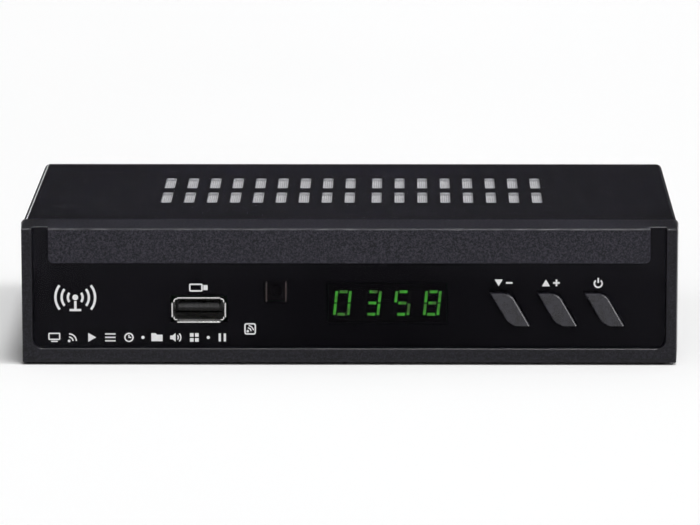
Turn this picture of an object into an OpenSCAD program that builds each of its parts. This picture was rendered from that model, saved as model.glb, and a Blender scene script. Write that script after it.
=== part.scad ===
// Terrestrial TV receiver: moulded front panel, smoked lens, steel cover and tray, three push buttons.
// Millimetres, +Z up, front facing -Y, origin under the middle of the whole footprint.
// Inside the modules y runs back from the panel's face, and z runs up from the table.

/* [Panel] */
// Width of the front panel's face
panel_w = 168; // [166:1:176]
// Height of the front panel
panel_h = 35; // [34:0.5:40]
// Depth of the front panel's skirt
panel_d = 13.8; // [12:0.2:16]
// Wall of the front panel
panel_wall = 2; // [1.6:0.1:2.2]
// How far each side of the panel flares from its face to its back
panel_flare = 0.9; // [0.5:0.1:1]
// Corner radius of the panel seen from the front
panel_corner_r = 1.1; // [0.6:0.1:1.5]
// Rounding of the panel's front edges
panel_edge_r = 0.5; // [0.3:0.1:0.8]
// Height of the panel's lower edge above the table
panel_lift = 0.6; // [0.5:0.1:1.6]
// Width of the frame at the lens's left and right
frame_side = 2.7; // [2.4:0.1:3]
// Height of the frame under the lens
frame_bottom = 3.7; // [3.5:0.1:4.2]
// Height of the brow bar
bar_h = 9.05; // [8.5:0.05:9.5]
// Corner radius of the brow bar
bar_r = 1.3; // [0.8:0.1:2]
// Width of the gloss strip beside the brow bar
strip_w = 4.15; // [3.5:0.05:5]
// Length of the rim that slips inside the cover
tongue_len = 7; // [6.6:0.1:8]
// Wall of that rim
tongue_t = 1.6; // [1.4:0.1:1.8]
// How far that rim runs back into the panel
rim_root = 2; // [1.5:0.1:2.5]
// Rounding of the panel's back edges
panel_back_r = 0.25; // [0.1:0.05:0.4]
// Width of the blocks that take the panel screws
block_w = 8; // [7:0.5:9]
// Height of those blocks
block_h = 6; // [5.8:0.1:7]

/* [Lens] */
// Thickness of the lens
lens_t = 2; // [1.8:0.1:2.2]
// Depth of the lens's face behind the panel's face
lens_recess = 0.8; // [0.7:0.1:1]
// Radius of the lens's lower corners
lens_corner_r = 2.6; // [1.5:0.1:3]

/* [Enclosure] */
// Depth of the enclosure, panel's face to rear sheet
case_d = 100; // [98:1:120]
// Thickness of the steel sheet
sheet_t = 0.8; // [0.7:0.1:1]
// Outer bend radius of the cover
bend_r = 1.6; // [1.4:0.1:2]
// Outer bend radius of the tray
tray_bend_r = 1.3; // [1.2:0.1:1.6]
// How far the panel's back stands out past each side of the cover
cover_step = 0.2; // [0.1:0.1:0.5]
// How far the cover lies below the panel's top
cover_drop = 0.2; // [0.1:0.1:0.4]
// Height of the tray's side flanges
flange_h = 12; // [11:0.5:14]
// Height of the feet
foot_h = 2; // [1.8:0.1:3]
// Radius of a foot at its top
foot_r = 5; // [4:0.5:6]
// How much a foot narrows towards the table
foot_taper = 0.4; // [0.2:0.1:0.8]
// Distance of the feet from the tray's sides
foot_side = 17.65; // [14:0.05:20]
// Distance of the feet from the tray's front and rear edges
foot_inset = 13; // [11:1:16]

/* [Vents] */
// Width of a slot
vent_w = 2.55; // [2:0.05:3]
// Length of a slot
vent_len = 15.2; // [12:0.2:16]
// Slot to slot
vent_pitch = 6.05; // [5.5:0.01:6.3]
// Slots in the left group of a row
vent_left_count = 9; // [6:1:9]
// Slots in the right group of a row
vent_right_count = 8; // [6:1:9]
// Slot to slot between the two groups
vent_group_pitch = 7.1; // [6:0.1:8]
// Middle of the rows, to the right of the cover's middle
vent_x = 0.2; // [-1:0.1:1]
// Middle of the front row behind the panel's face
vent_y = 47.2; // [45:0.2:50]
// Front row to rear row
vent_row_pitch = 22; // [18:0.5:24]
// Corner radius of a slot
vent_corner_r = 0.5; // [0.2:0.1:0.9]
// Thickness of the pale dust screen glued under the slots
screen_t = 0.5; // [0.4:0.1:0.8]
// Border of the dust screen round the slots
screen_border = 6; // [4:0.5:8]
// Width of an air slot in the tray's floor
floor_slot_w = 3; // [2:0.5:4]
// Length of an air slot in the tray's floor
floor_slot_len = 18; // [12:1:20]
// Air slots in the tray's floor
floor_slot_count = 9; // [5:2:11]
// Slot to slot in the tray's floor
floor_slot_pitch = 8; // [7:0.5:9]
// Middle of the front row of air slots behind the panel's face
floor_slot_y = 47; // [45:1:50]
// Row to row in the tray's floor
floor_slot_row_pitch = 26; // [22:1:28]

/* [Buttons] */
// Distance of the middle button from the panel's right edge
button_inset = 30.65; // [30:0.05:32]
// Button to button
button_pitch = 12.1; // [12:0.05:12.6]
// Middle of the buttons above the panel's lower edge
button_z = 13.85; // [13:0.05:15]
// Width of a button along a level line
button_w = 5.2; // [4.4:0.1:5.6]
// Height of a button
button_h = 8.5; // [8:0.1:9]
// Lean of a button's sides
button_slant = 30; // [26:0.5:32]
// Radius of a button's two round corners
button_r = 3.5; // [2.5:0.1:3.8]
// Depth of a button's face behind the panel's face
button_face = 0.1; // [0.1:0.05:0.2]
// Travel of a button
button_travel = 0.5; // [0.3:0.1:0.5]
// Collar round a button behind the panel's wall
button_collar = 1; // [0.8:0.1:1.2]
// Thickness of that collar
button_collar_t = 1; // [0.8:0.1:1.2]
// Radius of the post on a button's back
button_post_r = 1.5; // [1.2:0.1:1.7]
// Width of a switch's body
switch_w = 6; // [5.8:0.1:6.2]
// Height of a switch's body above its board
switch_h = 3.5; // [3.2:0.1:3.8]
// Reach of a switch's plunger out of its body
plunger_reach = 1.5; // [1:0.1:2]
// Radius of a switch's plunger
plunger_r = 1.75; // [1.5:0.05:1.9]
// Depth of the plunger inside its switch
plunger_root = 1.2; // [1:0.1:1.4]
// Space left behind a plunger that is pressed home
plunger_rest = 0.5; // [0.4:0.1:0.6]

/* [Display] */
// Middle of the display
display_x = 9.8; // [9:0.1:10.5]
// Middle of the display above the panel's lower edge
display_z = 15.06; // [14:0.02:16]
// Width of the display module
display_w = 30.2; // [29.5:0.1:31]
// Height of the display module
display_h = 10.2; // [9.5:0.1:11]
// Thickness of the display module
display_t = 6.1; // [5.5:0.1:6.5]
// Digit to digit
digit_pitch = 7.7; // [7.2:0.01:7.7]
// Height of a digit
digit_h = 6.6; // [6:0.1:7.5]
// Width of a digit
digit_w = 4.2; // [4:0.1:4.6]
// Width of a segment's stroke
stroke_w = 0.7; // [0.6:0.05:1]
// Lean of the digits
digit_slant = 6; // [0:0.5:8]
// Space between the ends of neighbouring segments
stroke_space = 0.4; // [0.2:0.05:0.5]
// Raise of the segments off the module's face
stroke_raise = 0.15; // [0.1:0.05:0.2]
// Width of a pin of the display or the sensor
pin_w = 0.5; // [0.4:0.05:0.6]
// Pins in a row of the display
pin_count = 9; // [5:1:10]
// Distance of a pin from the edge of its part
pin_border = 1; // [0.8:0.1:1.2]
// Digits that are shown
shown = [0, 3, 5, 8];

/* [Remote sensor] */
// Middle of the sensor
sensor_x = -18.8; // [-19.5:0.1:-18]
// Middle of the sensor above the panel's lower edge
sensor_z = 17.9; // [17:0.1:19]
// Width of the sensor's tin shield
shield_w = 5.3; // [5:0.1:5.6]
// Height of the shield
shield_h = 5; // [4.6:0.1:6]
// Depth of the shield
shield_d = 6; // [5.5:0.1:6.5]
// Sheet of the shield
shield_t = 0.3; // [0.2:0.05:0.4]
// Radius of the sensor's lens
eye_r = 1.6; // [1.3:0.1:1.8]
// Pin to pin under the sensor
sensor_pin_pitch = 1.6; // [1.4:0.1:1.7]

/* [Data port] */
// Distance of the port's middle from the panel's left edge
port_inset = 45.4; // [44.5:0.1:46.5]
// Middle of the port above the panel's lower edge
port_z = 13.7; // [13:0.1:15]
// Width of the port inside
port_w = 12.4; // [12.2:0.05:12.7]
// Height of the port inside
port_h = 5.1; // [5:0.05:5.3]
// Sheet of the port's metal sleeve
port_t = 0.35; // [0.3:0.05:0.4]
// How far the port's lips flare out on each side
port_flare = 0.45; // [0.4:0.05:0.6]
// Depth of the flared lips
port_lip_d = 0.9; // [0.7:0.1:1.2]
// How far the corners of the lips are cut back
port_notch = 1; // [0.8:0.1:1.3]
// How far the lips stand out of the lens
port_proud = 0.3; // [0.2:0.05:0.4]
// Width of the port's tongue
port_tongue_w = 10.8; // [10.6:0.1:11.4]
// Thickness of the tongue
port_tongue_t = 1.5; // [1.4:0.02:2]
// Height of the tongue's middle over the port's middle
port_tongue_z = 0.7; // [0.6:0.05:0.95]
// Depth of the tongue's tip behind the lips
port_tongue_in = 2; // [1.5:0.1:3]
// Thickness of the block at the port's back
port_block_t = 2; // [1.5:0.1:2.2]
// Slope at the tip of the tongue
port_nose = 0.45; // [0.3:0.05:0.6]
// Contacts on the tongue
contact_count = 4; // [3:1:4]
// Contact to contact on the tongue
contact_pitch = 2.3; // [2.2:0.05:2.5]
// Width of a contact
contact_w = 1.1; // [0.9:0.1:1.3]
// Thickness of a contact
contact_t = 0.2; // [0.15:0.05:0.3]
// Length of a contact
contact_len = 6; // [5:0.5:7]
// Distance of the contacts behind the tongue's tip
contact_in = 1.8; // [0.8:0.1:2]

/* [Boards] */
// Thickness of both boards
board_t = 1.6; // [1.4:0.1:1.6]
// Space between the main board and the tray's side flanges
board_space = 7.85; // [6.5:0.05:8.5]
// Height of the posts under the main board
post_h = 5; // [4.5:0.1:6]
// Radius of the posts under the main board
post_r = 3; // [2.8:0.1:3.5]
// Distance of the posts from the main board's sides
post_inset = 5; // [4.5:0.1:6]
// Border of the main board in front of the posts
post_border = 1; // [0.8:0.1:2]
// Distance of the rear posts behind the front posts
post_span = 42; // [38:1:44]
// Space at the left of the display board inside the panel
face_board_left_space = 25; // [22:0.5:26]
// Space at the right of the display board inside the panel
face_board_right_space = 3; // [2.5:0.1:3.5]
// Lower edge of the display board above the panel's lower edge
face_board_low = 5.2; // [5:0.1:5.4]
// Upper edge of the display board above the panel's lower edge
face_board_high = 26; // [25.5:0.1:27]
// Length of the panel's bosses that carry the display board
boss_len = 8.6; // [8.4:0.1:9]
// Radius of those bosses
boss_r = 2.5; // [2.2:0.1:2.6]
// Distance of the left boss from the display board's left edge
boss_left_in = 5; // [4:0.1:6]
// Height of the left boss above the panel's lower edge
boss_left_z = 21; // [20:0.1:22]
// Place of the middle boss
boss_mid_x = 30.5; // [30:0.1:31]
// Height of the middle boss above the panel's lower edge
boss_mid_z = 22; // [21.5:0.1:22.5]
// Distance of the right boss from the display board's right edge
boss_right_in = 3.2; // [3:0.1:3.5]
// Height of the right boss above the panel's lower edge
boss_right_z = 8.6; // [8.4:0.1:8.8]
// Middle of the processor
processor_x = 8; // [6:1:9]
// Middle of the processor behind the main board's front edge
processor_y = 32; // [28:1:34]
// Width of the processor
processor_w = 19; // [15:1:23]
// Thickness of the processor
processor_t = 1.4; // [1:0.1:2]
// Thickness of the pad on the processor
pad_t = 0.6; // [0.4:0.1:1]
// Width of the heat sink
sink_w = 30; // [26:1:32]
// Height of the heat sink
sink_h = 9; // [6:0.5:11]
// Fins of the heat sink
sink_fins = 8; // [5:1:9]
// Thickness of a fin
fin_t = 1; // [0.8:0.1:1.2]
// Thickness of the sink's foot
sink_foot_t = 2; // [1.5:0.1:3]
// Middle of the memory chips
memory_x = -18; // [-20:0.5:-17]
// Memory chip to memory chip
memory_pitch = 14; // [12:0.5:18]
// Width of a memory chip
memory_w = 14; // [10:0.5:15]
// Depth of a memory chip
memory_d = 8; // [6:0.5:10]
// Thickness of a memory chip
memory_t = 1.1; // [0.9:0.1:1.5]
// Middle of the clock crystal
crystal_x = 33; // [32:0.5:35]
// Middle of the clock crystal behind the main board's front edge
crystal_y = 15; // [10:1:16]
// Width of the clock crystal
crystal_w = 11.4; // [10:0.1:12]
// Depth of the clock crystal
crystal_d = 4.8; // [4:0.1:5]
// Height of the clock crystal
crystal_t = 3.6; // [3:0.1:4.5]
// Distance of the capacitors' middle from the main board's right side
capacitor_inset = 23; // [22:0.5:25]
// First row of capacitors behind the main board's front edge
capacitor_y = 40; // [38:0.5:41]
// Row of inductors behind the main board's front edge
inductor_y = 24; // [20:0.5:26]
// Radius of a capacitor
capacitor_r = 4; // [3:0.2:4.4]
// Height of a capacitor
capacitor_h = 11; // [8:0.5:13]
// Capacitor to capacitor
capacitor_pitch = 10; // [9.5:0.1:10.5]
// Width of an inductor
inductor_w = 7; // [5:0.5:8]
// Height of an inductor
inductor_h = 4.2; // [3:0.2:6]
// Contacts in the link between the boards
link_count = 10; // [6:1:12]
// Contact to contact in the link
link_pitch = 2.54; // [2.4:0.02:2.6]
// Middle of the link
link_x = -12; // [-15:0.5:-8]
// Width of a link pin
link_pin_w = 0.64; // [0.5:0.02:0.7]
// Width of the display's driver chip
driver_w = 13; // [10:0.5:15]
// Height of the driver chip
driver_h = 8; // [6:0.5:8]
// Thickness of the driver chip
driver_t = 2; // [1.5:0.1:2.5]

/* [Tuner] */
// Distance of the tuner's middle from the main board's left side
tuner_inset = 18; // [17.5:0.5:20]
// Width of the tuner's can
tuner_w = 34; // [33:0.5:36]
// Depth of the can
tuner_d = 23; // [20:0.5:26]
// Height of the can with its lid
tuner_h = 15.5; // [15:0.5:18]
// Sheet of the can
tuner_t = 0.5; // [0.4:0.1:0.7]
// Aerial socket to aerial socket
aerial_pitch = 17; // [16:0.5:18]
// Middle of the aerial sockets above the board
aerial_z = 8.2; // [7.6:0.1:8.4]
// Reach of the aerial sockets past the rear sheet
aerial_reach = 9.5; // [9:0.1:11]
// Inner radius of the aerial input
aerial_in_r = 4.78; // [4.77:0.01:4.8]
// Outer radius of the aerial output
aerial_out_r = 4.75; // [4.73:0.01:4.76]
// Wall of the aerial sleeves
aerial_wall = 0.8; // [0.6:0.1:0.9]
// Radius of the flange at the foot of an aerial socket
aerial_flange_r = 6.4; // [6.2:0.1:6.8]
// Thickness of that flange
aerial_flange_t = 0.8; // [0.6:0.1:1.2]
// Thickness of the insulator in an aerial socket
aerial_insulator_t = 3.2; // [2.6:0.1:4]
// Radius of the pin in the aerial output
aerial_pin_r = 1.18; // [1.15:0.01:1.2]
// Wall of the contact round that pin's mate
aerial_contact_t = 0.5; // [0.3:0.1:0.6]

/* [Rear sockets] */
// Space between the tuner and the digital video port
video_gap = 7.55; // [6.5:0.05:9]
// Width of the video port inside
video_w = 14; // [13.9:0.05:14.2]
// Height of the video port inside
video_h = 4.6; // [4.5:0.05:4.8]
// Sheet of the video port's sleeve
video_t = 0.45; // [0.4:0.05:0.5]
// Depth of the video port
video_d = 11; // [10:0.5:12]
// Cut corners of the video port
video_corner = 1.9; // [1.5:0.1:2.2]
// Width of the video port's tongue
video_tongue_w = 11.2; // [10.8:0.1:11.6]
// Thickness of the video port's tongue
video_tongue_t = 1.4; // [1.2:0.1:1.6]
// Height of that tongue's middle over the port's middle
video_tongue_z = 0.7; // [0.6:0.05:0.8]
// Thickness of the block at the video port's back
video_block_t = 2.5; // [2:0.1:3]
// Space between the video port and the analogue socket
av_gap = 7.3; // [6:0.1:9]
// Width of the analogue socket
av_w = 50.5; // [50:0.5:52]
// Height of the analogue socket
av_h = 17.4; // [17:0.2:18]
// Depth of the analogue socket
av_d = 15; // [14:0.5:17]
// Wall round the socket's groove
av_wall = 1.2; // [1:0.1:1.4]
// Width of the socket's groove
av_groove = 1.7; // [1.5:0.1:1.9]
// Depth of the socket's groove
av_groove_d = 9.5; // [8.5:0.1:10]
// Cut corner of the socket's outline
av_corner = 5.5; // [4.5:0.1:6]
// Contact to contact in a row of the socket
av_pitch = 3.81; // [3.75:0.01:3.85]
// Contacts in a row of the socket
av_count = 10; // [8:1:10]
// Height of a row of contacts over the socket's middle
av_row = 3.1; // [2.9:0.05:3.2]
// Width of a contact in the socket
av_blade_w = 0.5; // [0.4:0.1:0.6]
// Height of a contact in the socket
av_blade_h = 3.6; // [3.2:0.1:3.8]
// Space round a contact in the socket
av_slot_space = 0.2; // [0.15:0.05:0.25]
// Distance of the power jack's middle from the main board's right side
jack_inset = 13; // [11:0.5:15]
// Width of the power jack
jack_w = 9; // [8.5:0.1:9.6]
// Height of the power jack
jack_h = 11; // [10.5:0.1:12]
// Depth of the power jack
jack_d = 14.2; // [13.5:0.1:16]
// Radius of the jack's bore
jack_r = 3.15; // [3.1:0.05:3.2]
// Middle of the jack's bore above the board
jack_z = 6; // [5.5:0.1:6.5]
// Depth of the jack's bore
jack_bore_d = 9.5; // [8.5:0.1:10]
// Radius of the jack's pin
jack_pin_r = 1; // [0.95:0.05:1.1]
// How far the pins and contacts end inside their sockets
tip_in = 1; // [0.8:0.1:1.5]
// How far the rear sockets stand out of the rear sheet
socket_proud = 0.6; // [0.3:0.1:1]

/* [Fasteners] */
// Radius of a cover or board screw's thread
screw_r = 1.5; // [1.4:0.05:1.5]
// Radius of a screw's head
head_r = 2.7; // [2.5:0.1:2.9]
// Height of a screw's head
head_h = 1.1; // [1:0.1:1.4]
// Radius of a small screw's thread
small_screw_r = 1.15; // [1:0.05:1.2]
// Radius of a small screw's head
small_head_r = 2.1; // [1.9:0.1:2.2]
// Height of a small screw's head
small_head_h = 1.3; // [1.1:0.1:1.4]
// Length of a screw's thread
screw_len = 5; // [4.5:0.1:5.4]
// How much deeper a blind hole is than its screw
pilot_spare = 1; // [0.6:0.1:1.2]
// How much a screw's head narrows
head_taper = 0.5; // [0.3:0.1:0.7]
// Border round the drive in a screw's head
drive_border = 1; // [0.9:0.1:1.1]
// Width of the drive in a screw's head
drive_w = 0.7; // [0.5:0.1:0.8]
// Depth of the drive in a screw's head
drive_d = 0.6; // [0.5:0.1:0.8]
// Distance of the panel screws from the tray's sides
panel_screw_inset = 41.65; // [39:0.05:45]
// Height of the cover screws above the tray's underside
cover_screw_z = 7; // [6:0.1:8]
// Distance of the front cover screws behind the tray's flanges
cover_screw_in = 18; // [14:0.5:20]

/* [Fits] */
// Space between the cover and what lies in it
slip = 0.25; // [0.2:0.01:0.3]
// Space in a seam that shows
seam = 0.2; // [0.1:0.05:0.3]
// Space round a button
button_space = 0.2; // [0.15:0.01:0.25]
// Space round a plunger
plunger_space = 0.3; // [0.3:0.01:0.35]
// Space round the lens
lens_space = 0.1; // [0.05:0.01:0.15]
// Space round what looks or passes through the panel
window_space = 0.3; // [0.25:0.05:0.4]
// Space round a socket in the rear sheet
socket_space = 0.3; // [0.25:0.05:0.4]
// Space round a screw in a plain hole
hole_space = 0.25; // [0.2:0.01:0.3]
// Space round a screw in its thread
thread_space = 0.05; // [0.03:0.01:0.08]
// Space round an insert in its sleeve
insert_space = 0.05; // [0.03:0.01:0.08]
// Space between a window and the part that looks through it
look_space = 0.3; // [0.2:0.05:0.4]

/* [Hidden] */
$fn = 48;

// How far a cutter runs past what it cuts
over = 1;
// How far joined bodies of one piece run into each other
join = 0.4;
overall_d = case_d + aerial_reach;
half_face = panel_w / 2;
half_back = half_face + panel_flare;
panel_top = panel_lift + panel_h;
lens_back = lens_recess + lens_t;
wall_back = lens_back + panel_wall;
pocket_half = half_face - frame_side;
pocket_low = panel_lift + frame_bottom;
bar_half = pocket_half - strip_w;
bar_low = panel_top - bar_h;
cover_half = half_back - cover_step;
room_half = half_face - panel_wall;
button_x = half_face - button_inset;
port_x = port_inset - half_face;
face_board_left = face_board_left_space - room_half;
face_board_right = room_half - face_board_right_space;
boss_at = [
    [face_board_left + boss_left_in, boss_left_z], [boss_mid_x, boss_mid_z],
    [face_board_right - boss_right_in, boss_right_z]
];
cover_top = panel_top - cover_drop;
cover_under = cover_top - sheet_t;
cover_front = panel_d + seam;
tray_half = cover_half - sheet_t - slip;
foot_x = tray_half - foot_side;
panel_screw_x = tray_half - panel_screw_inset;
board_half = tray_half - sheet_t - board_space;
post_x = board_half - post_inset;
capacitor_x = board_half - capacitor_inset;
tuner_x = tuner_inset - board_half;
video_x = tuner_x + tuner_w / 2 + video_gap + video_t + video_w / 2;
av_x = video_x + video_w / 2 + video_t + av_gap + av_w / 2;
jack_x = board_half - jack_inset;
floor_top = foot_h + sheet_t;
flange_front = panel_d + tongue_len + seam;
rear_in = case_d - sheet_t;
rear_high = cover_under - slip;
rim_low = floor_top + slip;
rim_high = cover_under - slip;
rim_r = bend_r - sheet_t + slip;
face_front = wall_back + boss_len;
face_back = face_front + board_t;
block_front = face_back + seam;
block_back = panel_d + tongue_len;
panel_screw_y = (block_front + block_back) / 2;
button_level = panel_lift + button_z;
collar_front = wall_back + seam;
collar_back = collar_front + button_collar_t;
plunger_tip = face_front - switch_h - plunger_reach;
plunger_end = plunger_tip + plunger_reach + plunger_root;
plunger_stop = plunger_end + button_travel + plunger_rest;
display_level = panel_lift + display_z;
display_front = lens_back + look_space;
display_back = display_front + display_t;
sensor_level = panel_lift + sensor_z;
shield_front = lens_back + look_space;
shield_back = shield_front + shield_d;
port_level = panel_lift + port_z;
port_front = lens_recess - port_proud;
lip_back = port_front + port_lip_d;
sleeve_half_w = port_w / 2 + port_t;
sleeve_half_h = port_h / 2 + port_t;
tongue_low = port_tongue_z - port_tongue_t / 2;
board_low = floor_top + post_h;
board_top = board_low + board_t;
board_front = block_back + seam * 4;
tuner_rear = rear_in - seam - aerial_flange_t;
board_rear = tuner_rear + seam;
post_front = board_front + post_r + post_border;
post_y = [post_front, post_front + post_span];
link_level = board_top + link_pitch / 2;
link_front = face_back + seam * 2;
link_back = board_front + link_pitch;
processor_mid = board_front + processor_y;
pad_low = board_top + processor_t;
sink_low = pad_low + pad_t;
tuner_mid = tuner_rear - tuner_d / 2;
tuner_low = board_top + tuner_h - tuner_t;
aerial_level = board_top + aerial_z;
aerial_end = case_d + aerial_reach;
aerial_in_x = tuner_x - aerial_pitch / 2;
aerial_out_x = tuner_x + aerial_pitch / 2;
video_level = board_top + video_h / 2 + video_t;
video_front = case_d + socket_proud;
av_level = board_top + av_h / 2;
av_front = case_d + socket_proud;
jack_level = board_top + jack_z;
jack_front = case_d + socket_proud;
cover_screw_y = [flange_front + cover_screw_in, rear_in - cover_screw_in];
cover_screw_level = foot_h + cover_screw_z;
pilot_len = screw_len + pilot_spare;
foot_front = cover_front + foot_inset;
foot_rear = case_d - foot_inset;
vent_span = vent_pitch * (vent_left_count + vent_right_count - 2) + vent_group_pitch;
screen_front = vent_y - vent_len / 2 - screen_border;
screen_back = vent_y + vent_row_pitch + vent_len / 2 + screen_border;

// Segments a to g of the ten digits
segment_table = [
    [1, 1, 1, 1, 1, 1, 0], [0, 1, 1, 0, 0, 0, 0], [1, 1, 0, 1, 1, 0, 1], [1, 1, 1, 1, 0, 0, 1],
    [0, 1, 1, 0, 0, 1, 1], [1, 0, 1, 1, 0, 1, 1], [1, 0, 1, 1, 1, 1, 1], [1, 1, 1, 0, 0, 0, 0],
    [1, 1, 1, 1, 1, 1, 1], [1, 1, 1, 1, 0, 1, 1]
];

// Points along an arc
function arc(c, r, from, to, steps = 8) =
    [for (i = [0:steps]) let (a = from + (to - from) * i / steps) c + r * [cos(a), sin(a)]];

// A rectangle with a radius for each corner, anticlockwise from the lower left
function round_rect(lo, hi, r) = concat(
    arc([lo[0] + r[0], lo[1] + r[0]], r[0], 180, 270),
    arc([hi[0] - r[1], lo[1] + r[1]], r[1], 270, 360),
    arc([hi[0] - r[2], hi[1] - r[2]], r[2], 0, 90),
    arc([lo[0] + r[3], hi[1] - r[3]], r[3], 90, 180));

// A sheet folded into a channel, closed at the top, its closed side at zero
function channel(half, leg, t, r) = concat(
    [[-half, -leg]],
    arc([-half + r, -r], r, 180, 90),
    arc([half - r, -r], r, 90, 0),
    [[half, -leg], [half - t, -leg]],
    arc([half - r, -r], r - t, 0, 90),
    arc([-half + r, -r], r - t, 90, 180),
    [[-half + t, -leg]]);

// A leaf: a leaning parallelogram with two round corners, grown by g on every side
function leaf(g) =
    let (s = tan(button_slant), r = button_r + g, up = button_h / 2 + g)
    let (side = button_w / 2 + g / cos(button_slant), cut = r / tan(45 + button_slant / 2))
    concat(
        [[-side - s * up, up]],
        arc([side - s * up - cut, up - r], r, 90, button_slant),
        [[side + s * up, -up]],
        arc([-side + s * up + cut, r - up], r, 270, 180 + button_slant));

// A rectangle about a middle that leans with the digits
function stroke(mid, size) =
    [for (q = [[-1, -1], [1, -1], [1, 1], [-1, 1]])
        let (z = mid[1] + q[1] * size[1] / 2) [mid[0] + q[0] * size[0] / 2 + z * tan(digit_slant), z]];

// The seven strokes of a digit
function strokes() =
    let (x = (digit_w - stroke_w) / 2, z = (digit_h - stroke_w) / 2)
    let (wide = [digit_w - 2 * stroke_w - 2 * stroke_space, stroke_w])
    let (tall = [stroke_w, digit_h / 2 - stroke_space])
    let (up = digit_h / 4)
    [stroke([0, z], wide), stroke([x, up], tall), stroke([x, -up], tall), stroke([0, -z], wide),
        stroke([-x, -up], tall), stroke([-x, up], tall), stroke([0, 0], wide)];

// The outline of the analogue socket's groove, shrunk by g
function av_outline(g) =
    let (x = av_w / 2 - av_wall - g, z = av_h / 2 - av_wall - g)
    [[-x, -z], [x - av_corner, -z], [x, av_corner - z], [x, z], [-x, z]];

// The outline of the digital video port, grown by g
function video_outline(g) =
    let (x = video_w / 2 + g, z = video_h / 2 + g, cut = video_corner)
    [[-x + cut, -z], [x - cut, -z], [x, -z + cut], [x, z], [-x, z], [-x, -z + cut]];

// Moves a piece into the shared frame
module in_frame() {
    translate([0, -overall_d / 2, 0]) children();
}

// A box between two corners
module block(lo, hi) {
    translate(lo) cube(hi - lo);
}

// A bar that runs back, about a middle seen from the front
module bar_y(x, z, size, from, to) {
    translate([x - size[0] / 2, from, z - size[1] / 2]) cube([size[0], to - from, size[1]]);
}

// A slab that lies level, about a middle seen from above
module slab_z(x, y, size, from, to) {
    translate([x - size[0] / 2, y - size[1] / 2, from]) cube([size[0], size[1], to - from]);
}

// An outline seen from the front, run from one depth to another
module along_y(from, to) {
    translate([0, to, 0]) rotate([90, 0, 0]) linear_extrude(to - from) children();
}

// An outline seen from the right side, run from one side to the other
module along_x(from, to) {
    translate([from, 0, 0]) rotate([90, 0, 90]) linear_extrude(to - from) children();
}

// A round bar that runs back
module rod_y(x, z, r, from, to) {
    translate([x, from, z]) rotate([-90, 0, 0]) cylinder(h = to - from, r = r);
}

// A round bar that stands up
module rod_z(x, y, r, from, to) {
    translate([x, y, from]) cylinder(h = to - from, r = r);
}

// A pan-head screw whose head sits on the plane z = 0, its thread pointing down
module pan_screw(thread_r, wide_r, tall, len) {
    difference() {
        union() {
            cylinder(h = tall, r1 = wide_r, r2 = wide_r - head_taper);
            translate([0, 0, -len]) cylinder(h = len + join, r = thread_r);
        }
        for (turn = [0, 90]) {
            rotate(turn) slab_z(0, 0, [2 * (wide_r - drive_border), drive_w], tall - drive_d, tall + over);
        }
    }
}

module for_buttons() {
    for (i = [-1:1]) {
        translate([button_x + i * button_pitch, 0, button_level]) children();
    }
}

// What passes through both the lens and the wall behind it
module front_openings(from, to) {
    for_buttons() along_y(from, to) polygon(leaf(button_space));
    reach = port_flare + window_space;
    bar_y(port_x, port_level, 2 * [sleeve_half_w + reach, sleeve_half_h + reach], from, to);
}

module panel_body() {
    intersection() {
        translate([0, 0, panel_lift]) linear_extrude(panel_h) polygon(concat(
            arc([half_face - panel_edge_r, panel_edge_r], panel_edge_r, 270, 360),
            arc([half_back - panel_edge_r, panel_d - panel_edge_r], panel_edge_r, 0, 90),
            arc([panel_edge_r - half_back, panel_d - panel_edge_r], panel_edge_r, 90, 180),
            arc([panel_edge_r - half_face, panel_edge_r], panel_edge_r, 180, 270)));
        along_x(-half_back - over, half_back + over) polygon(round_rect(
            [0, panel_lift], [panel_d, panel_top],
            [panel_edge_r, panel_back_r, panel_back_r, panel_edge_r]));
        along_y(-over, panel_d + over) polygon(round_rect(
            [-half_back, panel_lift], [half_back, panel_top], panel_corner_r * [1, 1, 1, 1]));
    }
}

module lens_pocket() {
    difference() {
        along_y(-over, lens_back) polygon(round_rect(
            [-pocket_half, pocket_low], [pocket_half, panel_top + over], lens_corner_r * [1, 1, 0, 0]));
        along_y(-over * 2, lens_back + over) polygon(round_rect(
            [-bar_half, bar_low], [bar_half, panel_top + over * 2], bar_r * [1, 1, 0, 0]));
    }
}

module front_panel() {
    rim_mid = (rim_low + rim_high) / 2;
    rim_room = [2 * (tray_half - tongue_t), rim_high - rim_low - 2 * tongue_t];
    looking = [display_w, display_h] + 2 * window_space * [1, 1];
    sensing = [shield_w, shield_h] + 2 * window_space * [1, 1];
    pilot_r = small_screw_r + thread_space;
    color([0.18, 0.18, 0.2]) in_frame() difference() {
        union() {
            difference() {
                panel_body();
                block([-room_half, wall_back, rim_low + join],
                    [room_half, panel_d + over, panel_top - panel_wall]);
            }
            difference() {
                along_y(panel_d - rim_root, block_back) polygon(round_rect(
                    [-tray_half, rim_low], [tray_half, rim_high], rim_r * [1, 1, 1, 1]));
                bar_y(0, rim_mid, rim_room, 0, block_back + over);
            }
            for (p = boss_at) {
                rod_y(p[0], panel_lift + p[1], boss_r, wall_back - join, face_front);
            }
            for (s = [-1, 1]) {
                bar_y(s * panel_screw_x, rim_low + block_h / 2, [block_w, block_h],
                    block_front, block_back);
            }
        }
        lens_pocket();
        front_openings(0, wall_back + over);
        bar_y(display_x, display_level, looking, 0, wall_back + over);
        bar_y(sensor_x, sensor_level, sensing, 0, wall_back + over);
        for (p = boss_at) {
            rod_y(p[0], panel_lift + p[1], pilot_r, face_front - pilot_len, face_front + over);
        }
        for (s = [-1, 1]) {
            rod_z(s * panel_screw_x, panel_screw_y, pilot_r, rim_low - over, foot_h + pilot_len);
        }
    }
}

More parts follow.
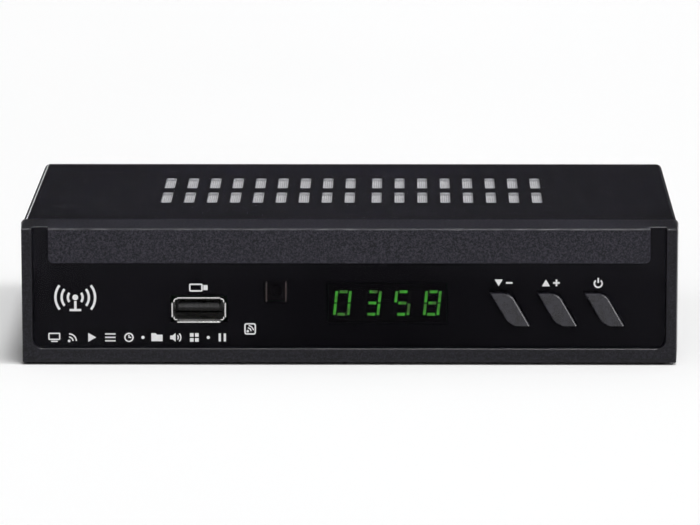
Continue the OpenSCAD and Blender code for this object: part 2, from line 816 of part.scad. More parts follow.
module front_lens() {
    half = pocket_half - lens_space;
    color([0.05, 0.05, 0.06, 0.7]) in_frame() difference() {
        along_y(lens_recess, lens_back) polygon(round_rect(
            [-half, pocket_low + lens_space], [half, panel_top - lens_space],
            (lens_corner_r - lens_space) * [1, 1, 0, 0]));
        along_y(0, lens_back + over) polygon(round_rect(
            [-bar_half - lens_space, bar_low - lens_space], [bar_half + lens_space, panel_top + over],
            (bar_r + lens_space) * [1, 1, 0, 0]));
        front_openings(0, lens_back + over);
    }
}

module button(i) {
    color([0.25, 0.25, 0.27]) in_frame() translate([button_x + i * button_pitch, 0, button_level]) {
        union() {
            along_y(button_face, collar_back) polygon(leaf(0));
            along_y(collar_front, collar_back) polygon(leaf(button_collar));
            rod_y(0, 0, button_post_r, collar_back - join, plunger_tip);
        }
    }
}

module down_button() {
    button(-1);
}

module up_button() {
    button(0);
}

module power_button() {
    button(1);
}

module plunger(i) {
    color([0.1, 0.1, 0.1]) in_frame() rod_y(
        button_x + i * button_pitch, button_level, plunger_r, plunger_tip, plunger_end);
}

module down_plunger() {
    plunger(-1);
}

module up_plunger() {
    plunger(0);
}

module power_plunger() {
    plunger(1);
}

module push_switch(i) {
    x = button_x + i * button_pitch;
    from = face_front - switch_h;
    color([0.75, 0.75, 0.72]) in_frame() difference() {
        bar_y(x, button_level, [switch_w, switch_w], from, face_front);
        rod_y(x, button_level, plunger_r + plunger_space, from - over, plunger_stop);
    }
}

module down_switch() {
    push_switch(-1);
}

module up_switch() {
    push_switch(0);
}

module power_switch() {
    push_switch(1);
}

module display_board() {
    hole_r = small_screw_r + hole_space;
    color([0.05, 0.25, 0.12]) in_frame() difference() {
        block([face_board_left, face_front, panel_lift + face_board_low],
            [face_board_right, face_back, panel_lift + face_board_high]);
        for (p = boss_at) {
            rod_y(p[0], panel_lift + p[1], hole_r, face_front - over, face_back + over);
        }
    }
}

module display_module() {
    color([0.08, 0.08, 0.09]) in_frame() union() {
        bar_y(display_x, display_level, [display_w, display_h], display_front, display_back);
        for (i = [0:pin_count - 1], s = [-1, 1]) {
            x = display_x + (i - (pin_count - 1) / 2) * link_pitch;
            z = display_level + s * (display_h / 2 - pin_border);
            bar_y(x, z, [pin_w, pin_w], display_back - join, face_front);
        }
    }
}

// The strokes of every digit that are lit (1) or unlit (0)
module digits(state) {
    for (d = [0:len(shown) - 1], s = [0:6]) {
        if (segment_table[shown[d]][s] == state) {
            translate([display_x + (d - (len(shown) - 1) / 2) * digit_pitch, 0, display_level])
                along_y(display_front - stroke_raise, display_front) polygon(strokes()[s]);
        }
    }
}

module lit_segments() {
    color([0.35, 0.75, 0.3]) in_frame() digits(1);
}

module dark_segments() {
    color([0.2, 0.22, 0.2]) in_frame() digits(0);
}

module remote_sensor() {
    body_w = shield_w - 2 * shield_t;
    body_front = shield_front + eye_r + look_space;
    body_back = shield_back - shield_t;
    color([0.06, 0.04, 0.05]) in_frame() union() {
        bar_y(sensor_x, sensor_level, [body_w, shield_h], body_front, body_back);
        translate([sensor_x, body_front, sensor_level]) sphere(r = eye_r);
        for (i = [-1:1]) {
            z = sensor_level - shield_h / 2 + pin_border;
            bar_y(sensor_x + i * sensor_pin_pitch, z, [pin_w, pin_w], body_back - join, face_front);
        }
    }
}

module sensor_shield() {
    leg_level = sensor_level + shield_h / 2 - pin_border;
    back_h = shield_h / 2;
    color([0.7, 0.7, 0.72]) in_frame() union() {
        for (s = [-1, 1]) {
            x = sensor_x + s * (shield_w - shield_t) / 2;
            bar_y(x, sensor_level, [shield_t, shield_h], shield_front, shield_back);
            bar_y(x, leg_level, [shield_t, 2 * pin_w], shield_back - join, face_front);
        }
        bar_y(sensor_x, sensor_level + back_h / 2, [shield_w, back_h], shield_back - shield_t, shield_back);
    }
}

// A flared lip seen from the side, from the sleeve's wall out to the mouth
function lip(inner) = [
    [port_front, inner + port_flare], [port_front, inner + port_flare + port_t], [lip_back, inner + port_t],
    [lip_back + join, inner + port_t], [lip_back + join, inner], [lip_back, inner]];

module data_port_sleeve() {
    sleeve = [sleeve_half_w, sleeve_half_h];
    long = sleeve_half_w - port_notch;
    tall = sleeve_half_h - port_notch;
    color([0.75, 0.75, 0.76]) in_frame() translate([port_x, 0, port_level]) union() {
        difference() {
            along_y(lip_back, face_front) polygon(round_rect(-sleeve, sleeve, 2 * port_t * [1, 1, 1, 1]));
            along_y(0, face_front + over) polygon(round_rect(
                [-port_w / 2, -port_h / 2], [port_w / 2, port_h / 2], port_t * [1, 1, 1, 1]));
        }
        for (turn = [0, 180]) {
            rotate([0, turn, 0]) along_x(-long, long) polygon(lip(port_h / 2));
            rotate([0, turn, 0]) translate([0, 0, -tall]) linear_extrude(2 * tall) polygon(
                [for (p = lip(port_w / 2)) [p[1], p[0]]]);
        }
    }
}

module data_port_tongue() {
    back = face_front - port_block_t;
    fill = [port_w / 2 - insert_space, port_h / 2 - insert_space];
    high = tongue_low + port_tongue_t;
    nose = port_nose;
    tip = port_front + port_tongue_in;
    color([0.1, 0.1, 0.11]) in_frame() translate([port_x, 0, port_level]) union() {
        along_y(back, face_front) polygon(round_rect(-fill, fill, port_t * [1, 1, 1, 1]));
        along_x(-port_tongue_w / 2, port_tongue_w / 2) polygon([
            [tip, tongue_low + nose], [tip, high - nose], [tip + nose, high], [back + join, high],
            [back + join, tongue_low], [tip + nose, tongue_low]]);
    }
}

module data_port_contacts() {
    tip = port_front + port_tongue_in + contact_in;
    level = port_level + tongue_low - contact_t / 2;
    color([0.8, 0.62, 0.25]) in_frame() for (i = [0:contact_count - 1]) {
        x = port_x + (i - (contact_count - 1) / 2) * contact_pitch;
        bar_y(x, level, [contact_w, contact_t], tip, tip + contact_len);
    }
}

module display_driver() {
    color([0.07, 0.07, 0.08]) in_frame()
        bar_y(display_x, display_level, [driver_w, driver_h], face_back, face_back + driver_t);
}

module display_board_screws() {
    color([0.7, 0.7, 0.72]) in_frame() for (p = boss_at) {
        translate([p[0], face_back, panel_lift + p[1]]) rotate([-90, 0, 0])
            pan_screw(small_screw_r, small_head_r, small_head_h, screw_len);
    }
}

module link_pins() {
    color([0.8, 0.62, 0.25]) in_frame() for (i = [0:link_count - 1]) {
        x = link_x + (i - (link_count - 1) / 2) * link_pitch;
        bar_y(x, link_level, [link_pin_w, link_pin_w], face_back, link_back - seam);
    }
}

module link_socket() {
    hole = link_pin_w + 2 * insert_space;
    color([0.08, 0.08, 0.09]) in_frame() difference() {
        bar_y(link_x, link_level, [link_count * link_pitch, link_pitch], link_front, link_back);
        for (i = [0:link_count - 1]) {
            x = link_x + (i - (link_count - 1) / 2) * link_pitch;
            bar_y(x, link_level, [hole, hole], link_front - over, link_back + over);
        }
    }
}

// One row of slots, the left group and the right group
module vent_row(y) {
    for (i = [0:vent_left_count + vent_right_count - 1]) {
        jump = i < vent_left_count ? 0 : vent_group_pitch - vent_pitch;
        x = vent_x + i * vent_pitch + jump - vent_span / 2;
        translate([x, y, cover_under - over]) linear_extrude(sheet_t + 2 * over) polygon(round_rect(
            [-vent_w / 2, -vent_len / 2], [vent_w / 2, vent_len / 2], vent_corner_r * [1, 1, 1, 1]));
    }
}

module top_cover() {
    color([0.13, 0.13, 0.15]) in_frame() difference() {
        translate([0, 0, cover_top]) along_y(cover_front, case_d) polygon(
            channel(cover_half, cover_top - foot_h, sheet_t, bend_r));
        vent_row(vent_y);
        vent_row(vent_y + vent_row_pitch);
        for (y = cover_screw_y) {
            translate([-cover_half - over, y, cover_screw_level]) rotate([0, 90, 0])
                cylinder(h = 2 * (cover_half + over), r = screw_r + hole_space);
        }
    }
}

module vent_screen() {
    half = vent_span / 2 + vent_w / 2 + screen_border;
    color([0.75, 0.75, 0.76]) in_frame() block([vent_x - half, screen_front, cover_under - screen_t],
        [vent_x + half, screen_back, cover_under]);
}

// The openings that the rear sockets pass through
module rear_openings() {
    from = rear_in - over;
    to = case_d + over;
    for (x = [aerial_in_x, aerial_out_x]) {
        rod_y(x, aerial_level, aerial_in_r + aerial_wall + socket_space, from, to);
    }
    translate([video_x, 0, video_level]) along_y(from, to) polygon(video_outline(video_t + socket_space));
    bar_y(av_x, av_level, [av_w, av_h] + 2 * socket_space * [1, 1], from, to);
    bar_y(jack_x, board_top + jack_h / 2, [jack_w, jack_h] + 2 * socket_space * [1, 1], from, to);
}

module base_tray() {
    fold = tray_half - tray_bend_r;
    hole_r = small_screw_r + hole_space;
    color([0.5, 0.5, 0.52]) in_frame() difference() {
        union() {
            translate([0, 0, foot_h]) mirror([0, 0, 1]) along_y(flange_front, rear_in + join) polygon(
                channel(tray_half, flange_h, sheet_t, tray_bend_r));
            block([-fold, cover_front, foot_h], [fold, flange_front + join, floor_top]);
            along_y(rear_in, case_d) polygon(round_rect(
                [-tray_half, foot_h], [tray_half, rear_high], tray_bend_r * [1, 1, 1, 1]));
            for (s = [-1, 1], y = post_y) {
                rod_z(s * post_x, y, post_r, floor_top - join, board_low);
            }
        }
        rear_openings();
        for (i = [0:floor_slot_count - 1], y = [floor_slot_y, floor_slot_y + floor_slot_row_pitch]) {
            x = (i - (floor_slot_count - 1) / 2) * floor_slot_pitch;
            slab_z(x, y, [floor_slot_w, floor_slot_len], foot_h - over, floor_top + over);
        }
        for (s = [-1, 1], y = post_y) {
            rod_z(s * post_x, y, screw_r + thread_space, floor_top, board_low + over);
        }
        for (s = [-1, 1]) {
            rod_z(s * panel_screw_x, panel_screw_y, hole_r, foot_h - over, floor_top + over);
        }
        for (y = cover_screw_y) {
            translate([-cover_half, y, cover_screw_level]) rotate([0, 90, 0])
                cylinder(h = 2 * cover_half, r = screw_r + thread_space);
        }
    }
}

module cover_screws() {
    color([0.1, 0.1, 0.11]) in_frame() for (s = [-1, 1], y = cover_screw_y) {
        translate([s * cover_half, y, cover_screw_level]) rotate([0, s * 90, 0])
            pan_screw(screw_r, head_r, head_h, screw_len);
    }
}

module panel_screws() {
    color([0.7, 0.7, 0.72]) in_frame() for (s = [-1, 1]) {
        translate([s * panel_screw_x, panel_screw_y, foot_h]) rotate([180, 0, 0])
            pan_screw(small_screw_r, small_head_r, small_head_h, screw_len);
    }
}

module foot(s, y) {
    color([0.06, 0.06, 0.06]) in_frame() translate([s * foot_x, y, 0])
        cylinder(h = foot_h, r1 = foot_r - foot_taper, r2 = foot_r);
}

module front_left_foot() {
    foot(-1, foot_front);
}

module front_right_foot() {
    foot(1, foot_front);
}

module rear_left_foot() {
    foot(-1, foot_rear);
}

module rear_right_foot() {
    foot(1, foot_rear);
}

module main_board() {
    color([0.05, 0.25, 0.12]) in_frame() difference() {
        block([-board_half, board_front, board_low], [board_half, board_rear, board_top]);
        for (s = [-1, 1], y = post_y) {
            rod_z(s * post_x, y, screw_r + hole_space, board_low - over, board_top + over);
        }
    }
}

module board_screws() {
    color([0.7, 0.7, 0.72]) in_frame() for (s = [-1, 1], y = post_y) {
        translate([s * post_x, y, board_top]) pan_screw(screw_r, head_r, head_h, screw_len);
    }
}

module processor() {
    color([0.07, 0.07, 0.08]) in_frame()
        slab_z(processor_x, processor_mid, [processor_w, processor_w], board_top, pad_low);
}

module thermal_pad() {
    color([0.6, 0.65, 0.75]) in_frame()
        slab_z(processor_x, processor_mid, [processor_w, processor_w], pad_low, sink_low);
}

module heat_sink() {
    pitch = (sink_w - fin_t) / (sink_fins - 1);
    color([0.6, 0.6, 0.62]) in_frame() union() {
        slab_z(processor_x, processor_mid, [sink_w, sink_w], sink_low, sink_low + sink_foot_t);
        for (i = [0:sink_fins - 1]) {
            x = processor_x + (i - (sink_fins - 1) / 2) * pitch;
            slab_z(x, processor_mid, [fin_t, sink_w], sink_low, sink_low + sink_h);
        }
    }
}

module memory_chips() {
    color([0.07, 0.07, 0.08]) in_frame() for (s = [-1, 1]) {
        y = processor_mid + s * memory_pitch / 2;
        slab_z(memory_x, y, [memory_w, memory_d], board_top, board_top + memory_t);
    }
}

module clock_crystal() {
    color([0.75, 0.75, 0.76]) in_frame() slab_z(crystal_x, board_front + crystal_y,
        [crystal_w, crystal_d], board_top, board_top + crystal_t);
}

module capacitors() {
    color([0.1, 0.1, 0.2]) in_frame() for (i = [-1:1], j = [0:1]) {
        x = capacitor_x + i * capacitor_pitch;
        y = board_front + capacitor_y + j * capacitor_pitch;
        rod_z(x, y, capacitor_r, board_top, board_top + capacitor_h);
    }
}

module inductors() {
    color([0.3, 0.3, 0.32]) in_frame() for (s = [-1, 1]) {
        x = capacitor_x + s * capacitor_pitch;
        slab_z(x, board_front + inductor_y, [inductor_w, inductor_w], board_top, board_top + inductor_h);
    }
}

module tuner_can() {
    room = [tuner_w, tuner_d] - 2 * tuner_t * [1, 1];
    color([0.7, 0.7, 0.72]) in_frame() difference() {
        slab_z(tuner_x, tuner_mid, [tuner_w, tuner_d], board_top, tuner_low);
        slab_z(tuner_x, tuner_mid, room, board_top - over, tuner_low + over);
    }
}

module tuner_lid() {
    color([0.72, 0.72, 0.74]) in_frame()
        slab_z(tuner_x, tuner_mid, [tuner_w, tuner_d], tuner_low, tuner_low + tuner_t);
}

// A sleeve that stands on the tuner's rear wall
module aerial_sleeve(x, outer, inner) {
    color([0.75, 0.75, 0.76]) in_frame() difference() {
        union() {
            rod_y(x, aerial_level, aerial_flange_r, tuner_rear, tuner_rear + aerial_flange_t);
            rod_y(x, aerial_level, outer, tuner_rear, aerial_end);
        }
        rod_y(x, aerial_level, inner, tuner_rear - over, aerial_end + over);
    }
}

// The disc at the foot of a sleeve, with a hole for the middle conductor
module aerial_disc(x, outer, inner) {
    end = tuner_rear + aerial_insulator_t;
    color([0.9, 0.9, 0.86]) in_frame() difference() {
        rod_y(x, aerial_level, outer - insert_space, tuner_rear, end);
        rod_y(x, aerial_level, inner + insert_space, tuner_rear - over, end + over);
    }
}

module aerial_in_sleeve() {
    aerial_sleeve(aerial_in_x, aerial_in_r + aerial_wall, aerial_in_r);
}

module aerial_in_insulator() {
    aerial_disc(aerial_in_x, aerial_in_r, aerial_pin_r + aerial_contact_t);
}

module aerial_in_contact() {
    end = aerial_end - tip_in;
    color([0.75, 0.75, 0.76]) in_frame() difference() {
        rod_y(aerial_in_x, aerial_level, aerial_pin_r + aerial_contact_t, tuner_rear, end);
        rod_y(aerial_in_x, aerial_level, aerial_pin_r, tuner_rear + aerial_insulator_t, end + over);
    }
}

module aerial_out_sleeve() {
    aerial_sleeve(aerial_out_x, aerial_out_r, aerial_out_r - aerial_wall);
}

module aerial_out_insulator() {
    aerial_disc(aerial_out_x, aerial_out_r - aerial_wall, aerial_pin_r);
}

module aerial_out_pin() {
    color([0.75, 0.75, 0.76]) in_frame() rod_y(
        aerial_out_x, aerial_level, aerial_pin_r, tuner_rear, aerial_end - tip_in);
}

module video_port_sleeve() {
    color([0.75, 0.75, 0.76]) in_frame() translate([video_x, 0, video_level]) difference() {
        along_y(video_front - video_d, video_front) polygon(video_outline(video_t));
        along_y(video_front - video_d - over, video_front + over) polygon(video_outline(0));
    }
}

module video_port_tongue() {
    back = video_front - video_d;
    color([0.08, 0.08, 0.09]) in_frame() translate([video_x, 0, video_level]) union() {
        along_y(back, back + video_block_t) polygon(video_outline(-insert_space));
        bar_y(0, video_tongue_z, [video_tongue_w, video_tongue_t], back + video_block_t - join,
            video_front - tip_in);
    }
}

// The places of the socket's contacts, two staggered rows
module for_av_contacts() {
    for (row = [-1, 1], i = [0:av_count - 1]) {
        x = (i - (av_count - 1) / 2) * av_pitch + (row - 1) * av_pitch / 4;
        translate([x, 0, row * av_row]) children();
    }
}

module av_socket_housing() {
    floor_y = av_front - av_groove_d;
    slot = [av_blade_w, av_blade_h] + 2 * av_slot_space * [1, 1];
    color([0.08, 0.08, 0.09]) in_frame() translate([av_x, 0, av_level]) difference() {
        bar_y(0, 0, [av_w, av_h], av_front - av_d, av_front);
        difference() {
            along_y(floor_y, av_front + over) polygon(av_outline(0));
            along_y(floor_y - over, av_front + 2 * over) polygon(av_outline(av_groove));
        }
        for_av_contacts() bar_y(0, 0, slot, floor_y, av_front + over);
    }
}

module av_socket_contacts() {
    floor_y = av_front - av_groove_d;
    color([0.75, 0.75, 0.76]) in_frame() translate([av_x, 0, av_level])
        for_av_contacts() bar_y(0, 0, [av_blade_w, av_blade_h], floor_y, av_front - tip_in);
}

module power_jack_body() {
    color([0.08, 0.08, 0.09]) in_frame() difference() {
        bar_y(jack_x, board_top + jack_h / 2, [jack_w, jack_h], jack_front - jack_d, jack_front);
        rod_y(jack_x, jack_level, jack_r, jack_front - jack_bore_d, jack_front + over);
    }
}

module power_jack_pin() {
    color([0.75, 0.75, 0.76]) in_frame() rod_y(
        jack_x, jack_level, jack_pin_r, jack_front - jack_bore_d, jack_front - tip_in);
}

front_panel();
front_lens();
down_button();
up_button();
power_button();
down_plunger();
up_plunger();
power_plunger();
down_switch();
up_switch();
power_switch();
display_board();
display_module();
lit_segments();
dark_segments();
remote_sensor();
sensor_shield();
data_port_sleeve();
data_port_tongue();
data_port_contacts();
display_driver();
display_board_screws();
link_pins();
link_socket();
top_cover();
vent_screen();
base_tray();
cover_screws();
panel_screws();
front_left_foot();
front_right_foot();
rear_left_foot();
rear_right_foot();
main_board();
board_screws();
processor();
thermal_pad();
heat_sink();
memory_chips();
clock_crystal();
capacitors();
inductors();
tuner_can();
tuner_lid();
aerial_in_sleeve();
aerial_in_insulator();
aerial_in_contact();
aerial_out_sleeve();
aerial_out_insulator();
aerial_out_pin();
video_port_sleeve();
video_port_tongue();
av_socket_housing();
av_socket_contacts();
power_jack_body();
power_jack_pin();
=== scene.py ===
import math

import bmesh
import bpy
from mathutils import Matrix, Vector


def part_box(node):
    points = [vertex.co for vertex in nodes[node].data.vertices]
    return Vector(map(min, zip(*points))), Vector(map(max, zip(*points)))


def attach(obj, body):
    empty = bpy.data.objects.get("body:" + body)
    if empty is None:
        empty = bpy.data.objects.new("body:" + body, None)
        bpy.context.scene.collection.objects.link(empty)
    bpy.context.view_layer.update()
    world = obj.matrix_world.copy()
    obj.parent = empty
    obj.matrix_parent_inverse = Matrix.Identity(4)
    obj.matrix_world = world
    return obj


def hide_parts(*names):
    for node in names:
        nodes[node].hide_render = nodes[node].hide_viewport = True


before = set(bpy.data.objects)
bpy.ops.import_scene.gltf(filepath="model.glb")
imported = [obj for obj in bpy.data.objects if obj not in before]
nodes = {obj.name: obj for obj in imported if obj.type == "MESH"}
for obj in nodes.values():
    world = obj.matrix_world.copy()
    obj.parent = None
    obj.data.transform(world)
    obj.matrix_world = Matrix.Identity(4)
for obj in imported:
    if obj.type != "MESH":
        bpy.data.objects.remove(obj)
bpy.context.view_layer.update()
mm = 0.001
print("frame loaded,", len(nodes), "nodes")

# where things are, read off the frame
panelLow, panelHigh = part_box("front_panel")
lensLow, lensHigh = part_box("front_lens")
ventLow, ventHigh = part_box("vent_screen")
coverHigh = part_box("top_cover")[1]
faceY = panelLow.y                     # the panel's face
edgeZ = panelLow.z                     # the panel's lower edge
lensY = lensLow.y                      # the lens's face
ventY = (ventLow.y + ventHigh.y) / 2   # the middle of the slotted field
keys = ("down", "up", "power")         # the buttons, from left to right


# materials

noiseSpan = (0.3, 0.7)      # noise seldom leaves these values
softDetail = 1.0            # detail of the noise in broad, soft patches
# a mix node's sockets: the share, the two that are mixed, and the result
mixPlaces = {"RGBA": (0, 6, 7, 2), "FLOAT": (0, 2, 3, 0)}


def newFinish(name):
    mat = bpy.data.materials.new(name)
    mat.use_nodes = True
    tree = mat.node_tree
    tree.nodes.clear()
    out = tree.nodes.new("ShaderNodeOutputMaterial")
    shader = tree.nodes.new("ShaderNodeBsdfPrincipled")
    tree.links.new(shader.outputs["BSDF"], out.inputs["Surface"])
    place = tree.nodes.new("ShaderNodeTexCoord").outputs["Object"]
    return mat, tree, shader, place


def axes(tree, vector):
    node = tree.nodes.new("ShaderNodeSeparateXYZ")
    tree.links.new(vector, node.inputs["Vector"])
    return node.outputs


def facing(tree):
    # the way a face points, whatever its relief
    return axes(tree, tree.nodes.new("ShaderNodeNewGeometry").outputs["True Normal"])


def grain(tree, place, size, detail=2.0, stretch=None):
    # noise whose blotches are about `size` millimetres across
    if stretch:
        turn = tree.nodes.new("ShaderNodeMapping")
        turn.inputs["Scale"].default_value = stretch
        tree.links.new(place, turn.inputs["Vector"])
        place = turn.outputs["Vector"]
    noise = tree.nodes.new("ShaderNodeTexNoise")
    noise.inputs["Scale"].default_value = 1 / (size * mm)
    noise.inputs["Detail"].default_value = detail
    tree.links.new(place, noise.inputs["Vector"])
    return noise.outputs["Fac"]


def ramp(tree, fac, colours, stops=noiseSpan):
    node = tree.nodes.new("ShaderNodeValToRGB")
    points = node.color_ramp.elements
    while len(points) < len(colours):
        points.new(0.5)     # anywhere, as its place is set below
    for point, at, colour in zip(points, stops, colours):
        point.position = at
        point.color = (*colour, 1)
    tree.links.new(fac, node.inputs["Fac"])
    return node.outputs["Color"]


def spread(tree, value, low, high, span=noiseSpan):
    # as the value crosses the span, the result goes from low to high
    node = tree.nodes.new("ShaderNodeMapRange")
    for key, number in zip(("From Min", "From Max", "To Min", "To Max"), (*span, low, high)):
        node.inputs[key].default_value = number
    tree.links.new(value, node.inputs["Value"])
    return node.outputs["Result"]


def maths(tree, kind, *terms):
    node = tree.nodes.new("ShaderNodeMath")
    node.operation = kind
    for socket, term in zip(node.inputs, terms):
        if isinstance(term, (int, float)):
            socket.default_value = term
        else:
            tree.links.new(term, socket)
    return node.outputs["Value"]


def allOf(tree, first, *others):
    for other in others:
        first = maths(tree, "MULTIPLY", first, other)
    return first


def weigh(tree, first, second, share):
    # the second by its share, and the first for the rest
    rest = maths(tree, "MULTIPLY", first, 1 - share)
    return maths(tree, "ADD", rest, maths(tree, "MULTIPLY", second, share))


def blend(tree, fac, first, second, kind="RGBA"):
    node = tree.nodes.new("ShaderNodeMix")
    node.data_type = kind
    share, one, other, result = mixPlaces[kind]
    tree.links.new(fac, node.inputs[share])
    for socket, value in ((node.inputs[one], first), (node.inputs[other], second)):
        if isinstance(value, bpy.types.NodeSocket):
            tree.links.new(value, socket)
        else:
            socket.default_value = value
    return node.outputs[result]


def relief(tree, shader, height, depth):
    # the depth is in millimetres
    node = tree.nodes.new("ShaderNodeBump")
    node.inputs["Strength"].default_value = 1
    node.inputs["Distance"].default_value = depth * mm
    tree.links.new(height, node.inputs["Height"])
    tree.links.new(node.outputs["Normal"], shader.inputs["Normal"])


usualFinish = {
    "detail": 2.0, "stretch": None, "patch": 9.0, "patchShare": 0.3, "metal": 0.0, "shine": 0.5,
    "stops": (0.36, 0.64),      # the tones between which dark turns to light
}


def surfaceFinish(settings):
    # one finish from its settings: blotchy colour, uneven gloss and a fine relief
    s = {**usualFinish, **settings}
    mat, tree, shader, place = newFinish(s["name"])
    fine = grain(tree, place, s["grain"], s["detail"], s["stretch"])
    broad = grain(tree, place, s["patch"], softDetail)
    tone = weigh(tree, fine, broad, s["patchShare"])
    tree.links.new(ramp(tree, tone, (s["dark"], s["light"]), s["stops"]), shader.inputs["Base Color"])
    tree.links.new(spread(tree, broad, *s["rough"]), shader.inputs["Roughness"])
    shader.inputs["Metallic"].default_value = s["metal"]
    shader.inputs["Specular IOR Level"].default_value = s["shine"]
    relief(tree, shader, fine, s["relief"])
    return mat


panelFinish = {
    # lengths in millimetres
    "name": "speckledPanel", "grain": 0.31, "detail": 3.0,
    "coarser": 2.3, "coarseDetail": 1.5, "coarseShare": 0.35,   # a second grain, this many times coarser
    "deep": (0.0025, 0.0023, 0.0037), "pale": (0.0086, 0.0081, 0.0124), "fleck": (0.021, 0.0198, 0.0272),
    "stops": (0.4, 0.5, 0.62),
    "browPaintedLight": 1.95,           # painted light: how much paler the brow bar is painted, for the light it catches
    "browLevel": 25.9,          # the brow bar starts here above the panel's lower edge
    "browFade": 2.0,            # the lift grows over this height below that
    "browHalf": 77.5,           # the bar lies within this distance of the middle
    "rough": (0.28, 0.38), "shine": 0.22, "relief": 0.012,
    "highlightBand": 0.6, "paintedHighlight": (0.085, 0.084, 0.092),   # painted highlight along the front top edge: its height and colour
    "highlightLean": 0.2,             # worn faces lean at least this much forwards and upwards
    "highlightLength": 4.0, "highlightDetail": 3.0, "highlightLeast": 0.1, "highlightSpan": (0.35, 0.65),   # noise breaks it up
    "wall": ((0.0078, 0.0073, 0.0112), (0.0094, 0.0088, 0.0134)), "wallPatch": 12.0,
    "wallHeight": 0.5,          # the wall behind the lens is smooth, so its relief has one height
    "wallLean": 0.9, "wallSlack": 0.1,   # it looks forwards and starts at the lens's back, less this slack
}


def speckledPanel(s):
    mat, tree, shader, place = newFinish(s["name"])
    spot = axes(tree, place)
    lean = facing(tree)
    fine = grain(tree, place, s["grain"], s["detail"])
    coarse = grain(tree, place, s["grain"] * s["coarser"], s["coarseDetail"])
    tone = weigh(tree, fine, coarse, s["coarseShare"])
    base = ramp(tree, tone, (s["deep"], s["pale"], s["fleck"]), s["stops"])
    # painted light: the brow bar is painted paler, for the light it catches
    browZ = edgeZ + s["browLevel"] * mm
    within = maths(tree, "LESS_THAN", maths(tree, "ABSOLUTE", spot["X"]), s["browHalf"] * mm)
    above = spread(tree, spot["Z"], 0.0, s["browPaintedLight"] - 1, (browZ - s["browFade"] * mm, browZ))
    paler = tree.nodes.new("ShaderNodeVectorMath")
    paler.operation = "SCALE"
    tree.links.new(base, paler.inputs["Vector"])
    tree.links.new(maths(tree, "ADD", allOf(tree, within, above), 1.0), paler.inputs["Scale"])
    # a painted highlight along the front top edge, broken up in places
    oblique = allOf(tree, maths(tree, "LESS_THAN", lean["Y"], -s["highlightLean"]),
                    maths(tree, "GREATER_THAN", lean["Z"], s["highlightLean"]))
    high = maths(tree, "GREATER_THAN", spot["Z"], panelHigh.z - s["highlightBand"] * mm)
    brokenHighlight = spread(tree, grain(tree, place, s["highlightLength"], s["highlightDetail"]), s["highlightLeast"], 1.0, s["highlightSpan"])
    paintedHighlight = blend(tree, allOf(tree, oblique, high, brokenHighlight), paler.outputs["Vector"], (*s["paintedHighlight"], 1))
    # the wall behind the lens is smooth
    wall = allOf(tree, maths(tree, "LESS_THAN", lean["Y"], -s["wallLean"]),
                 maths(tree, "GREATER_THAN", spot["Y"], lensHigh.y - s["wallSlack"] * mm))
    smooth = ramp(tree, grain(tree, place, s["wallPatch"], softDetail), s["wall"])
    tree.links.new(blend(tree, wall, paintedHighlight, smooth), shader.inputs["Base Color"])
    tree.links.new(spread(tree, coarse, *s["rough"]), shader.inputs["Roughness"])
    shader.inputs["Specular IOR Level"].default_value = s["shine"]
    relief(tree, shader, blend(tree, wall, tone, s["wallHeight"], "FLOAT"), s["relief"])
    return mat


coverFinish = {
    # lengths in millimetres
    "name": "paintedCover", "deep": (0.0092, 0.0087, 0.0124), "pale": (0.0166, 0.0157, 0.0220),
    "stops": (0.35, 0.95),
    "fade": (15.0, 75.0), "lift": 0.34,   # paler by the lift in the middle, which fades out between these
    "grain": 0.3, "patch": 14.0, "patchDetail": 1.5, "patchShare": 0.5,
    "rough": (0.108, 0.118), "shine": 0.25, "relief": 0.0008,
    "flank": 0.92, "flankRough": 0.8,   # the paint is matt from this far inside the widest point outwards
    "bare": ((0.546, 0.546, 0.56), (0.78, 0.78, 0.8)), "bareGrain": 0.25, "bareRough": 0.5,
    "field": (52.0, 30.0),      # half width and half depth of the slotted field
    "skin": 0.03,               # paint on the top face reaches this far down a cut edge
    "upright": 0.8,             # a cut edge's normal points up or down less than this
}


def paintedCover(s):
    # satin black paint, with bare zinc on the cut edges of the slots
    mat, tree, shader, place = newFinish(s["name"])
    spot = axes(tree, place)
    aside = maths(tree, "ABSOLUTE", spot["X"])
    fine = grain(tree, place, s["grain"])
    broad = grain(tree, place, s["patch"], s["patchDetail"])
    tone = weigh(tree, fine, broad, s["patchShare"])
    paler = spread(tree, aside, s["lift"], 0.0, [edge * mm for edge in s["fade"]])
    paint = ramp(tree, maths(tree, "ADD", tone, paler), (s["deep"], s["pale"]), s["stops"])
    steel = ramp(tree, grain(tree, place, s["bareGrain"]), s["bare"])
    along = maths(tree, "ABSOLUTE", maths(tree, "SUBTRACT", spot["Y"], ventY))
    cut = allOf(tree, maths(tree, "LESS_THAN", aside, s["field"][0] * mm),
                maths(tree, "LESS_THAN", along, s["field"][1] * mm),
                maths(tree, "LESS_THAN", spot["Z"], coverHigh.z - s["skin"] * mm),
                maths(tree, "LESS_THAN", maths(tree, "ABSOLUTE", facing(tree)["Z"]), s["upright"]))
    tree.links.new(blend(tree, cut, paint, steel), shader.inputs["Base Color"])
    tree.links.new(cut, shader.inputs["Metallic"])
    flank = maths(tree, "GREATER_THAN", aside, coverHigh.x - s["flank"] * mm)
    matt = blend(tree, flank, spread(tree, broad, *s["rough"]), s["flankRough"], "FLOAT")
    tree.links.new(blend(tree, cut, matt, s["bareRough"], "FLOAT"), shader.inputs["Roughness"])
    shader.inputs["Specular IOR Level"].default_value = s["shine"]
    relief(tree, shader, fine, s["relief"])
    return mat


